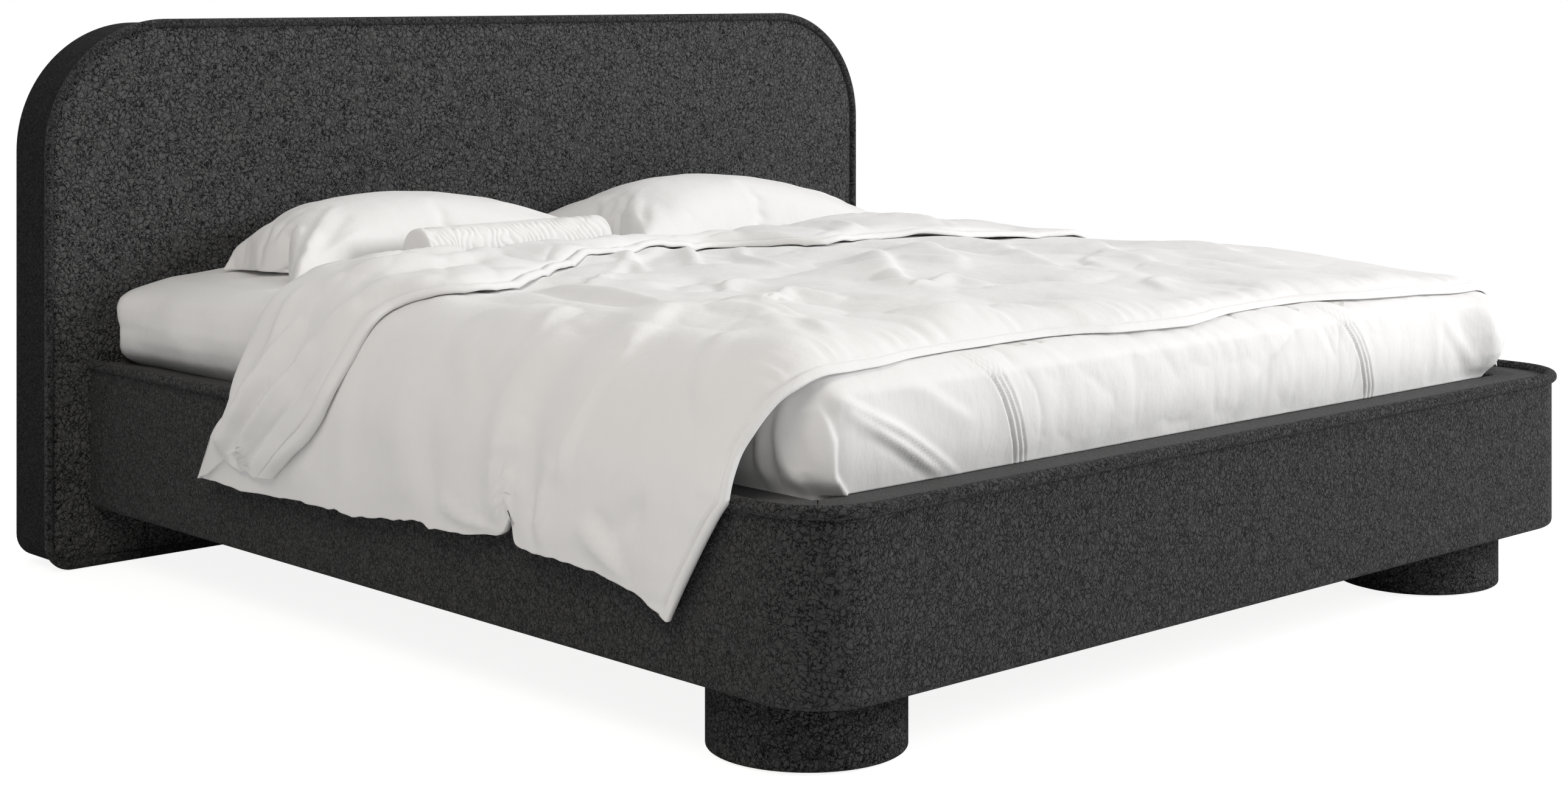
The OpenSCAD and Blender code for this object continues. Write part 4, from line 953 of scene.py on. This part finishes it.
far_swell = [
    (400, 0), (413, 2), (422, 10), (436, 22), (460, 35), (500, 44), (540, 45), (565, 38), (585, 20),
    (600, 4),
]
far_out = table(far_swell, z, 20)
push += far_corner * (far_out + crumple(turn / 26, z / 120, 14) * 6)
cloth[:, :, 0] += outward[:, :, 0] * push
cloth[:, :, 1] += outward[:, :, 1] * push
# the near head corner slumps out over the rim in two soft bulges
corner_swell = [
    (395, 20), (412, 34), (424, 56), (436, 64), (450, 66), (470, 62), (492, 57), (512, 61),
    (534, 64), (552, 60), (570, 46), (584, 26), (600, 0),
]
side_swell = [
    (395, 10), (412, 26), (424, 40), (440, 50), (470, 56), (500, 56), (530, 48), (556, 34),
    (575, 20), (600, 0),
]
at_head = step(y, 850, 950)
slump = table(corner_swell, z, 22) * at_head + table(side_swell, z, 40) * (1 - at_head)
side_folds = [
    (9, 14, 26, [(962, 585), (950, 520), (925, 440)]),
    (-5, 16, 12, [(930, 585), (915, 520), (900, 450)]),
    (7, 14, 30, [(800, 590), (770, 520), (700, 430)]),
    (6, 16, 34, [(640, 590), (600, 500), (520, 420)]),
]
slump += strokes(y, z, side_folds)
near_edge = step(-cloth[:, :, 0], 850, 925)
cloth[:, :, 0] -= slump * near_edge * step(y, 250, 800)
top_face = step(z, 588, 599) * step(depth_in, 8, 40)
top_lines = [
    (5, 20, 46, [(-905, 560), (-760, 600), (-560, 640)]),
    (4, 20, 34, [(-880, 800), (-780, 760), (-640, 700)]),
    (4, 16, 34, [(-900, 470), (-800, 520), (-700, 520)]),
]
lift = top_face * (smooth_noise(x / 210, y / 260, 8) * 2.2 + smooth_noise(x / 70, y / 90, 9) * 0.8)
lift += step(z, 588, 599) * strokes(x, y, top_lines)
over_edge = foot_face * step(z, 560, 592) * (1 - step(depth_in, 30, 90))
lift += 0.7 * over_edge * panel * seam_calm * (gathers - 3)
cloth[:, :, 2] += lift - sag(x, y) * step(z, 540, 599)
clear_of_board = 1000 * board_y - 0.6
cloth[:, :, 1] = np.minimum(cloth[:, :, 1], clear_of_board)
faces = loft(len(profile), ring_n, cap_low=False)
sheet = mesh_piece("fitted_sheet_cloth", cloth.reshape(-1, 3), faces)
applied(sheet, "SOLIDIFY", thickness=0.0008, offset=-1)
dressed(sheet, sateen, "white_cotton", "fitted_sheet")

# DUVET
# A padded quilt in a sateen cover, spread over the bed with its head end folded back.
# It hangs down the near side to below the rim, and only to the rim on the far side.
shoulder, rest = 902.0, 599.9
near_curve = [
    (shoulder, rest), (938, 589), (980, 566), (1009, 533), (1038, 489), (1056, 449), (1064, 415),
    (1066, 350), (1066, 180),
]
far_curve = [(shoulder, rest), (940, 590), (970, 556), (986, 490), (992, 425), (992, 380)]
welt_z, far_hem_z = 415, 424


def even(curve, lead=120, reach=15):
    """A dense, smoothed line through the points, with its length, from a flat start."""
    curve = np.array([(curve[0][0] - lead, curve[0][1])] + curve, float)
    run = np.r_[0, np.cumsum(np.hypot(*np.diff(curve, axis=0).T))]
    dense = np.arange(0, run[-1], 2.0)
    line = np.stack([np.interp(dense, run, curve[:, k]) for k in (0, 1)], 1)
    window = np.hanning(2 * reach + 1)
    window /= window.sum()
    before = line[0] + (line[0] - line[1]) * np.arange(reach, 0, -1)[:, None]
    after = line[-1] + (line[-1] - line[-2]) * np.arange(1, reach + 1)[:, None]
    padded = np.concatenate([before, line, after])
    line = np.stack([np.convolve(padded[:, k], window, "valid") for k in (0, 1)], 1)
    run = np.r_[0, np.cumsum(np.hypot(*np.diff(line, axis=0).T))] - lead
    return line, run


near_line, near_run = even(near_curve)
far_line, far_run = even(far_curve)
welt_run = float(np.interp(-welt_z, -near_line[:, 1], near_run))
far_len = float(np.interp(-far_hem_z, -far_line[:, 1], far_run))


def across(u):
    """Place and outward direction on the quilt's lower face at a distance across it."""
    place = np.zeros(u.shape + (2,))
    ahead = np.zeros(u.shape + (2,))
    for sign, line, run in ((-1, near_line, near_run), (1, far_line, far_run)):
        side = (np.sign(u) == sign) & (np.abs(u) > shoulder - 60)
        reach = np.abs(u) - shoulder
        slope = np.gradient(line, axis=0)
        slope /= np.hypot(*slope.T)[:, None]
        for k in (0, 1):
            value = np.interp(reach, run, line[:, k])
            beyond = reach > run[-1]
            value = np.where(beyond, line[-1, k] + (reach - run[-1]) * slope[-1, k], value)
            place[..., k] = np.where(side, value * (sign if k == 0 else 1), place[..., k])
            ahead[..., k] = np.where(side, np.interp(reach, run, slope[:, k]), ahead[..., k])
        ahead[..., 0] = np.where(side, ahead[..., 0] * sign, ahead[..., 0])
    flat = np.abs(u) <= shoulder - 60
    place[..., 0] = np.where(flat, u, place[..., 0])
    place[..., 1] = np.where(flat, rest, place[..., 1])
    sign = np.where(u < 0, -1, 1)
    out = np.stack([-ahead[..., 1] * sign, ahead[..., 0] * sign], -1)
    out[flat] = (0, 1)
    return place, out


body_hem = [
    (-900, 218), (-840, 219), (-800, 235), (-760, 250), (-706, 262), (-640, 270), (-552, 273),
    (-512, 272), (-484, 274), (-466, 277), (-457, 282), (-454, 300), (-451, 316), (-442, 318),
    (-438, 308), (-430, 294), (-412, 285), (-378, 281), (-335, 276), (-290, 271), (-230, 270),
    (-205, 276), (-184, 278), (-114, 265), (-60, 262), (6, 253), (50, 259), (90, 259),
    (156, 257), (226, 255), (280, 251), (352, 247), (412, 251), (470, 254), (540, 255),
]
flap_hem = [
    (120, 300), (254, 288), (308, 279), (326, 280), (334, 290), (355, 286), (380, 293),
    (408, 304), (428, 292), (450, 279), (484, 264), (506, 258), (540, 255),
]
foot_edge = [
    (-1161, -966), (-1086, -964), (-1048, -974), (-1008, -983), (-954, -1000), (-902, -1006),
    (-850, -1007), (-780, -1004), (-700, -986), (-600, -976), (-516, -973), (-430, -967),
    (-350, -967), (-274, -986), (-214, -1003), (-146, -1007), (-76, -1009), (-22, -1011),
    (60, -1001), (124, -986), (250, -973), (352, -975), (428, -989), (506, -1005), (606, -1012),
    (722, -1014), (830, -1012), (902, -1008), (1100, -990),
]
free_edge = [
    (-1330, 300), (-1288, 254), (-1262, 204), (-1212, 134), (-1160, 88), (-1122, 66),
    (-1052, 60), (-1000, 60), (-952, 50), (-920, 16), (-890, -24), (-850, -46), (-806, -42),
    (-704, 6), (-558, 104), (-418, 192), (-360, 240), (-205, 282), (-128, 300), (26, 296),
    (80, 256), (120, 196), (168, 120), (207, 106), (324, 116), (400, 100), (532, 56), (672, 60),
    (818, 60), (902, 34),
]
body_lines = [
    (10, 9, 46, [(-661, -45), (-709, -129), (-724, -279), (-745, -430), (-725, -509)]),
    (-11, 60, 40, [(-138, 330), (-357, 142), (-519, 4), (-624, -79)]),
    (13, 18, 60, [(-90, 320), (-300, 190), (-450, 60), (-560, -30)]),
    (10, 8, 26, [(-669, -486), (-661, -538), (-642, -585), (-561, -532)]),
    (9, 7, 24, [(-686, -633), (-700, -691), (-711, -749)]),
    (12, 20, 80, [(-695, -536), (-744, -705), (-763, -835), (-850, -984)]),
    (12, 20, 70, [(-771, -502), (-885, -575), (-960, -610)]),
    (14, 14, 60, [(-900, -590), (-977, -620), (-1035, -600), (-1100, -590), (-1180, -580)]),
    (-13, 36, 60, [(-880, -500), (-1053, -470), (-1139, -490), (-1200, -475)]),
    (13, 36, 30, [(-900, -420), (-1060, -400), (-1160, -420)]),
    (14, 8, 44, [(-1100, -452), (-1180, -436), (-1240, -446), (-1300, -452)]),
    (-12, 20, 9, [(-1120, -440), (-1200, -428), (-1253, -440), (-1300, -444)]),
    (9, 10, 22, [(-1149, -563), (-1201, -548), (-1252, -538), (-1310, -550)]),
    (-7, 12, 12, [(-1190, -520), (-1250, -512), (-1300, -516)]),
    (10, 10, 26, [(-1225, -637), (-1262, -676), (-1292, -714), (-1312, -742)]),
    (-7, 16, 10, [(-1215, -670), (-1250, -710), (-1285, -735)]),
    (-9, 20, 24, [(-1185, -789), (-1220, -752), (-1244, -714)]),
    (13, 12, 50, [(173, -37), (-89, -350), (-252, -570)]),
    (10, 10, 30, [(-252, -570), (-155, -515), (-57, -472), (-71, -593)]),
    (10, 12, 26, [(-232, 285), (-300, 170), (-374, 49)]),
    (9, 10, 24, [(-34, 314), (-140, 170), (-252, 30)]),
    (9, 10, 24, [(60, 240), (-60, 100), (-120, -93)]),
    (-10, 30, 20, [(-736, -22), (-791, -267), (-775, -438), (-724, -513)]),
    (9, 10, 30, [(-672, -133), (-524, -5), (-432, 22)]),
    (10, 10, 26, [(-631, -599), (-545, -543), (-511, -647)]),
    (-8, 30, 24, [(-749, -703), (-741, -751), (-863, -960)]),
    (14, 14, 60, [(330, 110), (250, -120), (120, -330), (20, -420)]),
    (-11, 40, 30, [(420, 90), (330, -150), (230, -330)]),
    (12, 12, 44, [(520, 20), (440, -170), (250, -420), (180, -560)]),
    (10, 10, 40, [(260, -600), (330, -480), (470, -380), (560, -360)]),
    (10, 12, 30, [(-150, -640), (-40, -700), (60, -820)]),
    (9, 10, 30, [(-420, -700), (-360, -800), (-300, -900)]),
    (10, 14, 40, [(700, 0), (620, -260), (420, -560), (380, -700)]),
    (-10, 40, 26, [(650, -420), (560, -640), (520, -800)]),
    (9, 12, 30, [(120, -860), (180, -760), (300, -700)]),
    (10, 16, 50, [(840, -60), (800, -420), (660, -720)]),
    (9, 12, 26, [(-1040, -860), (-960, -800), (-880, -760)]),
    (-5, 30, 36, [(-1100, -200), (-1180, -220), (-1280, -240)]),
    (4, 36, 46, [(-1020, -60), (-1120, -130), (-1270, -160)]),
    (4, 30, 40, [(-1060, 60), (-1160, 40), (-1280, 30)]),
    (10, 8, 16, [(-1251, -259), (-1276, -328), (-1283, -396), (-1286, -430)]),
    (4, 22, 36, [(-960, -200), (-1040, -260), (-1120, -330)]),
    (7, 10, 22, [(-860, -330), (-960, -380), (-1060, -350)]),
    (8, 12, 24, [(-470, -300), (-400, -220), (-300, -180)]),
    (-7, 26, 26, [(-560, -250), (-470, -150), (-340, -90)]),
    (8, 10, 26, [(-560, -800), (-500, -860), (-400, -880)]),
    (7, 10, 22, [(-40, -160), (60, -220), (90, -330)]),
]
far_hills = [
    (-1000, -4), (-800, -5), (-700, 0), (-600, 7), (-500, 13), (-400, 14), (-300, 9), (-200, 1),
    (-100, -5), (0, -8),
]
flap_lines = [
    (17, 9, 22, [(-1300, 440), (-1274, 408), (-1236, 402), (-1177, 352), (-1110, 300), (-1010, 250)]),
    (-13, 9, 9, [(-1300, 376), (-1250, 372), (-1190, 330), (-1120, 270)]),
    (17, 9, 16, [(-1310, 352), (-1270, 346), (-1230, 325), (-1185, 285), (-1120, 220), (-1050, 170)]),
    (-10, 8, 8, [(-1300, 328), (-1262, 318), (-1215, 268), (-1150, 190), (-1080, 130)]),
    (9, 20, 40, [(-1080, 200), (-980, 130), (-900, 110)]),
    (9, 24, 40, [(-960, 260), (-860, 210), (-700, 200), (-560, 250)]),
    (-8, 24, 24, [(-900, 150), (-780, 130), (-640, 190)]),
    (9, 12, 24, [(-820, 340), (-700, 290), (-600, 300)]),
    (-8, 16, 16, [(-1240, 500), (-1180, 440), (-1100, 400)]),
    (8, 14, 20, [(-1150, 340), (-1060, 300), (-960, 310)]),
    (9, 10, 20, [(300, 330), (340, 240), (330, 150)]),
    (9, 10, 24, [(480, 350), (560, 240), (600, 120)]),
    (8, 12, 24, [(60, 380), (120, 300), (160, 180)]),
    (8, 12, 24, [(-420, 380), (-330, 330), (-240, 330)]),
]

hang_rows = np.array([0, 2, 4, 7, 11, 16, 22, 30, 40, 51, 62, 73, 84, 95, 106, 117, 128, 140.0])
hang_length = hang_rows[-1]
hang_part = -shoulder - welt_run - hang_length * (1 - hang_rows / hang_length)
tent_part = np.linspace(-shoulder - welt_run, -shoulder, 37)[1:]
top_part = np.linspace(-shoulder, shoulder, 206)[1:]
far_part = shoulder + far_len * np.r_[np.linspace(0, 0.9, 15)[1:], 0.95, 0.98, 1.0]
columns = np.concatenate([hang_part, tent_part, top_part, far_part])
hang = np.clip((-columns - shoulder - welt_run) / hang_length, 0, 1)
near_side = step(-columns, shoulder - 60, shoulder + welt_run * 0.8)
far_side = step(columns, shoulder - 400, shoulder + 60)
side_share = np.maximum(near_side, far_side)
edge_taper = np.minimum(
    step(np.abs(columns - columns[0]), -12, 60), step(np.abs(columns[-1] - columns), -12, 60)
)
y_foot = table(foot_edge, columns) + 127 * hang ** 0.9
y_foot += 2.0 * smooth_noise(columns / 90, columns * 0, 21)
y_ext = 392 + 132 * hang ** 1.25 + 4 * smooth_noise(columns / 160, columns * 0, 22)
flap_hang_from, flap_hang_length = -1161.7, 130
hanging = flap_hang_from - hang * flap_hang_length
y_free = table(free_edge, np.where(hang > 0, hanging, columns))
full = 36 - 20 * near_side - 14 * far_side
flap_full = 27 - 13 * near_side - 12 * far_side
hem_wave = 2.2
over_side = step(-columns, 900, 1150)
tube = 22 + 27 * np.minimum(1, 1.2 * hang + 0.5 * over_side)
mattress_edge_y = mattress_y - mattress_half[1] + top_r


def placed(y, offset, hem, droop=0.0):
    """Points of a row at a height over the lower face, and its distances across."""
    wave = smooth_noise(y / 19.0, 0 * y, 23) * step(np.abs(y + 436), 20, 50)
    z_hem = table(hem, y, 2) + hem_wave * wave
    u = np.where(hang > 0, -shoulder - welt_run - hang * (welt_z - z_hem), columns)
    place, out = across(u)
    fall = np.clip(mattress_edge_y - y, 0, 37)
    dip = (high_turn - np.sqrt(high_turn ** 2 - fall ** 2)) * 0.3 * (1 - near_side)
    swing = 4 * hang * (1 + np.sin(y / 52.0)) * step(y, -960, -760)
    x = place[:, 0] + out[:, 0] * offset - swing
    z = place[:, 1] + out[:, 1] * offset - dip - droop
    z -= 13 * step(x, 600, 900) * step(-y, 640, 940) * step(z, 480, 590)
    return np.column_stack([x, y, z]), u


def sewn_edge(d, lip, groove_at, groove, full, reach):
    """Thickness near a sewn edge: a flat lip, a stitched groove, then the filling."""
    base = lip * 0.75
    swell = base + (full - base) * (1 - np.exp(-np.maximum(d - groove_at, 0) / reach))
    half_turn = np.pi * np.clip(0.02 + 0.86 * d / groove_at, 0, 1)
    rounded = lip * (0.35 + 0.65 * np.sqrt(np.sin(half_turn)))
    stitched = groove * np.exp(-(((d - groove_at) / 2.8) ** 2))
    return np.where(d < groove_at, rounded, swell) - stitched


def body_top(y, u):
    """Thickness of the quilt's body at a row."""
    d = y - y_foot
    t = sewn_edge(d, 13 + 3 * hang, 16 + 3 * hang, 7 + 2 * hang, full, 26.0)
    t = 9.0 + (t - 9.0) * (0.12 + 0.88 * edge_taper)
    hills = smooth_noise(u / 240 + 3, y / 300, 31) * 12 + smooth_noise(u / 110, y / 130, 32) * 6.0
    hills += smooth_noise(u / 52, y / 60, 33) * 1.3
    crease = crumple((u + 0.4 * y) / 150, (y - 0.3 * u) / 210, 35) * 11
    crease += crumple(u / 75, y / 170, 36) * 3.0
    pucker = crumple(u / 24, y / 160, 34) * 7.0 * (1 - step(d, 30, 110)) * step(d, 8, 18)
    near_edge = step(-u, 700, 900) * (1 - step(-u, 1080, 1180))
    stroke_share = 1.3 - 0.55 * step(u, -250, 250) - 0.5 * near_edge
    relief = (hills + crease) * (1 - 0.72 * side_share)
    relief += stroke_share * strokes(u, y + 0 * u, body_lines)
    relief += step(u, 450, 800) * np.interp(y, *np.array(far_hills).T)
    high = (relief * step(d, 12, 90) + pucker) * (0.15 + 0.85 * edge_taper)
    return np.maximum(t + high, 6.0 * np.sqrt(np.clip(d / 3, 0.3, 1)))


def flap_top(y, u):
    """Thickness of the folded-back flap at a row."""
    d = y - y_free
    t = sewn_edge(d, 13 + 6 * over_side + 6 * hang, tube, 8 + 6 * over_side, flap_full, 18.0)
    hills = smooth_noise(u / 170, y / 150, 41) * 8 + smooth_noise(u / 60, y / 70, 42) * 2.0
    hills += crumple((u - 0.5 * y) / 90, (y + 0.3 * u) / 160, 43) * 7
    relief = hills * (1 - 0.4 * side_share) + 1.3 * strokes(u, y + 0 * u, flap_lines)
    t = 7 + (t - 7 + relief * step(d, 14, 60)) * (0.12 + 0.88 * edge_taper)
    return np.maximum(t, 4.0)


edge_rows = np.array([0, 2, 4.5, 7, 9.5, 12, 14, 16, 18.5, 22, 27, 34, 43])
share = np.linspace(0, 1, 125)[1:]
share = np.sort(np.r_[share, 0.318 + np.linspace(-0.024, 0.024, 16)])
skin_a, skin_b = [], []
rows = [y_foot + d for d in edge_rows]
rows += [y_foot + edge_rows[-1] + (y_free + 30 - y_foot - edge_rows[-1]) * t for t in share]
y_turn = y_ext - 40 + 26 * side_share
rows += [y_free + 30 + (y_turn - y_free - 30) * t for t in np.linspace(0, 1, 9)[1:]]
for y in rows:
    droop = 5.0 * (1 - step(y - y_foot, 0, 15)) * (1 - near_side)
    lower, u = placed(y, 0 * y, body_hem)
    thick = body_top(y, u)
    skin_a.append(lower)
    skin_b.append(placed(y, thick, body_hem, droop)[0])
join = 1.6
_, u = placed(y_turn, 0 * y_turn, flap_hem)
outer_r = (thick + join + flap_top(y_turn, u)) / 2
roll = 9
for k in range(1, roll + 1):
    angle = math.pi * k / (roll + 1)
    outside = y_turn + outer_r * 0.92 * math.sin(angle)
    skin_a.append(placed(outside, outer_r * (1 - math.cos(angle)), body_hem)[0])
    inside = y_turn + 1.2 * math.sin(angle)
    skin_b.append(placed(inside, thick + join * k / (roll + 1), body_hem)[0])
flap_edge = np.array([50, 41, 34, 29, 26, 24, 22, 20, 16, 11, 7, 4, 2, 0.0])
edge_scale = tube / 24
flap_length = y_free + 50 * edge_scale - y_turn
rows = [y_turn + flap_length * t ** 0.92 for t in np.linspace(0, 1, 40)[1:-1]]
rows += [y_free + d * edge_scale for d in flap_edge]
for y in rows:
    d = y - y_free
    _, u = placed(y, 0 * y, flap_hem)
    under = body_top(y, u)
    open_edge = 0.5 + 0.5 * smooth_noise(columns / 75, y * 0, 51)
    lift = 1.0 + 7.5 * (1 - step(d, 0, 70)) * open_edge ** 2
    lift += (join - lift) * step(y, y_turn - 40, y_turn)
    skin_a.append(placed(y, under + lift + flap_top(y, u), flap_hem)[0])
    skin_b.append(placed(y, under + lift, flap_hem)[0])


def squares(index):
    """The four-sided faces of a grid of points."""
    corners = index[:-1, :-1], index[:-1, 1:], index[1:, 1:], index[1:, :-1]
    return np.stack(corners, -1).reshape(-1, 4)


index = np.arange(len(skin_a) * len(columns)).reshape(-1, len(columns))
quads = squares(index)
total = index.size
border = np.concatenate([index[0, :], index[1:, -1], index[-1, -2::-1], index[-2:0:-1, 0]])
following = np.roll(border, -1)
rim_faces = np.stack([border, border + total, following + total, following], 1)
faces = np.concatenate([quads[:, ::-1], quads + total, rim_faces])
duvet = mesh_piece("duvet_quilt", np.concatenate(skin_a + skin_b), faces)
bpy.ops.object.mode_set(mode="EDIT")
turned_out()
dressed(duvet, sateen, "white_cotton", "duvet")

# PILLOWS
# Two cotton pillows with a soft filling, plumped so that their sides draw in between
# pointed corners. They lie flat on the sheet against the headboard.
across_n, along_n = 66, 40
sheet_top = 600.6


def pillow_bag(name, width, length, thick):
    """Two layers of cloth sewn together round their edges, nearly flat."""
    u = np.linspace(-1, 1, across_n + 1)
    v = np.linspace(-1, 1, along_n + 1)
    uu, vv = np.meshgrid(u, v, indexing="ij")
    swell = np.sqrt(np.clip((1 - uu ** 4) * (1 - vv ** 4), 0, 1))
    x = width / 2 * uu * (1 - 0.03 * (1 - vv ** 2))
    y = length / 2 * vv * (1 - 0.04 * (1 - uu ** 2))
    up = np.stack([x, y, thick * swell], -1).reshape(-1, 3)
    down = np.stack([x, y, -thick * 0.6 * swell], -1).reshape(-1, 3)
    index = np.arange(len(up)).reshape(uu.shape)
    edge = np.ones(uu.shape, bool)
    edge[1:-1, 1:-1] = False
    lower = index + len(up)
    lower[edge] = index[edge]
    faces = np.concatenate([squares(index)[:, [0, 3, 2, 1]], squares(lower)])
    made = mesh_piece(name, np.concatenate([up, down]), faces)
    bpy.ops.object.mode_set(mode="EDIT")
    bpy.ops.mesh.select_all(action="SELECT")
    bpy.ops.mesh.delete_loose()
    bpy.ops.object.mode_set(mode="OBJECT")
    return made


pillow = pillow_bag("near_pillow", 905, 560, 22)
cloth = pillow.modifiers.new("cloth", "CLOTH")
for setting, value in {
    "quality": 6,
    "mass": 0.15,
    "use_pressure": True,
    "uniform_pressure_force": 6.0,
    "tension_stiffness": 25,
    "compression_stiffness": 25,
    "shear_stiffness": 8,
    "bending_stiffness": 0.6,
}.items():
    setattr(cloth.settings, setting, value)
cloth.settings.effector_weights.gravity = 0
cloth.point_cache.frame_start, cloth.point_cache.frame_end = 1, 40
for number in range(1, 31):
    bpy.context.scene.frame_set(number)
picked(pillow)
bpy.ops.object.modifier_apply(modifier=cloth.name)
bpy.context.scene.frame_set(1)
near_crest = [
    (-872, 34), (-862, 62), (-846, 84), (-826, 99), (-768, 122), (-700, 136), (-623, 145),
    (-560, 148), (-497, 149), (-359, 144), (-217, 126), (-140, 108), (-75, 82), (-40, 56), (-22, 30),
]
far_crest = [
    (16, 26), (26, 46), (48, 74), (80, 98), (140, 122), (200, 135), (285, 143), (444, 143),
    (560, 134), (660, 118), (740, 96), (790, 72), (818, 48), (834, 22),
]
near_folds = [
    (9, 7, 15, [(-858, 540), (-800, 590), (-735, 640), (-660, 700)]),
    (-7, 7, 7, [(-842, 575), (-790, 615), (-730, 675)]),
    (7, 6, 14, [(-840, 530), (-750, 565), (-650, 590)]),
    (-6, 6, 7, [(-810, 562), (-730, 600), (-650, 650)]),
    (6, 7, 12, [(-770, 530), (-690, 550), (-600, 556)]),
    (5, 14, 20, [(-800, 860), (-720, 830), (-620, 830)]),
    (-4, 10, 14, [(-840, 730), (-780, 745), (-690, 740)]),
    (6, 14, 20, [(-90, 600), (-180, 650), (-300, 660)]),
]
far_folds = [
    (9, 8, 14, [(40, 560), (75, 620), (125, 700)]),
    (-7, 8, 8, [(60, 545), (100, 610), (160, 680)]),
    (8, 8, 16, [(30, 640), (60, 700), (90, 780)]),
    (7, 10, 20, [(820, 600), (740, 640), (640, 650)]),
    (-5, 9, 9, [(810, 640), (740, 680), (680, 690)]),
    (6, 10, 18, [(820, 700), (760, 740), (680, 760)]),
]
spare = copied(pillow, "far_pillow")
co = np.array([v.co for v in pillow.data.vertices]) * 1000
co -= (co.max(0) + co.min(0)) / 2
co /= np.abs(co).max(0)
top_n = (across_n + 1) * (along_n + 1)
for sign, piece, node, crest, folds in (
    (-1, pillow, "pillow_left", near_crest, near_folds),
    (1, spare, "pillow_right", far_crest, far_folds),
):
    x, y, z = -sign * co[:, 0], co[:, 1], co[:, 2]
    outer = sign * x
    low_end, high_end = crest[0][0], crest[-1][0]
    px = (low_end + high_end) / 2 + x * (high_end - low_end) / 2
    slant = 62 if sign < 0 else 60
    px -= sign * slant * step(outer, 0.2, 1.0) * step(y, -0.1, 0.95)
    py = 756 + 230 * y - 78 * step(outer, 0.3, 1.0) * step(y, -0.2, 1.0)
    line = px[:top_n].reshape(across_n + 1, -1)
    own = np.maximum(z[:top_n].reshape(across_n + 1, -1).max(1), 0.2)[:, None]
    across_share = (line.mean(1) - line.mean(1).min()) / np.ptp(line.mean(1))
    reach = low_end + across_share * (high_end - low_end)
    wanted = np.interp(reach, *np.array(crest).T)[:, None]
    seam = 30 * (1 - step(np.abs(x), 0.55, 0.96)) * (1 - 0.3 * step(np.abs(y), 0.7, 1)) + 4
    above = np.maximum(z[:top_n], 0) * ((wanted - seam[:top_n].reshape(line.shape)) / own).ravel()
    up = np.r_[seam[:top_n] + above, seam[top_n:] * (1 - np.maximum(-z[top_n:], 0) * 1.2)]
    up[:top_n] += strokes(px[:top_n], py[:top_n], folds) * step(z[:top_n], 0.05, 0.4)
    place = np.column_stack([px, py, sheet_top - sag(px, py) + np.maximum(up, 0)])
    piece.data.vertices.foreach_set("co", (place * 0.001).astype(np.float32).ravel())
    piece.data.update()
    if piece.data.polygons[0].normal.z < 0:
        piece.data.flip_normals()
    applied(piece, "SUBSURF", levels=1, render_levels=1)
    soft_edges(piece, 180)
    dressed(piece, sateen, "white_cotton", node)

# BOLSTER
# A small round bolster in a pleated cotton cover, on the sheet before the near pillow.
# The pleats slant and waver, and a plain disc closes each end.
bolster_r, bolster_l = 51.0, 470.0
bolster_x, bolster_y = -390, 458
turns = np.radians(np.linspace(0, 360, 97)[:-1])


def bolster_ring(place, radius):
    """A ring of points round the bolster's axis."""
    return np.column_stack([place + 0 * turns, -radius * np.cos(turns), radius * np.sin(turns)])


caps = ((0.90, 1.5), (0.75, 3.0), (0.5, 4.5), (0.2, 5.5))
grid = [bolster_ring(-bolster_l / 2 - out, bolster_r * 0.9 * share) for share, out in caps[::-1]]
for place in np.linspace(-bolster_l / 2, bolster_l / 2, 300):
    here = 0 * turns + place
    slant = turns / 2 + 0.5 * smooth_noise(here / 26, turns * 2.2, 61)
    slant += 0.8 * smooth_noise(here / 70, turns * 0.9, 62)
    wave = place / bolster_l * 30 + slant * 1.4
    ridge = 1 - np.abs(2 * (wave - np.floor(wave)) - 1) ** 1.5
    end = bolster_l / 2 - abs(place)
    uneven = 0.75 + 0.25 * smooth_noise(here / 18, turns * 4, 63)
    pleat_depth = 4.2 * (1 - ridge) * uneven * min(1, end / 12)
    grid.append(bolster_ring(place, bolster_r - pleat_depth - 5 * (1 - min(1, end / 6)) ** 2))
grid += [bolster_ring(bolster_l / 2 + out, bolster_r * 0.9 * share) for share, out in caps]
points = np.vstack(grid) + (bolster_x, bolster_y, rest + bolster_r)
bolster = mesh_piece("pleated_bolster", points, loft(len(grid), len(turns)))
bpy.ops.object.mode_set(mode="EDIT")
turned_out()
dressed(bolster, sateen, "white_cotton", "bolster")
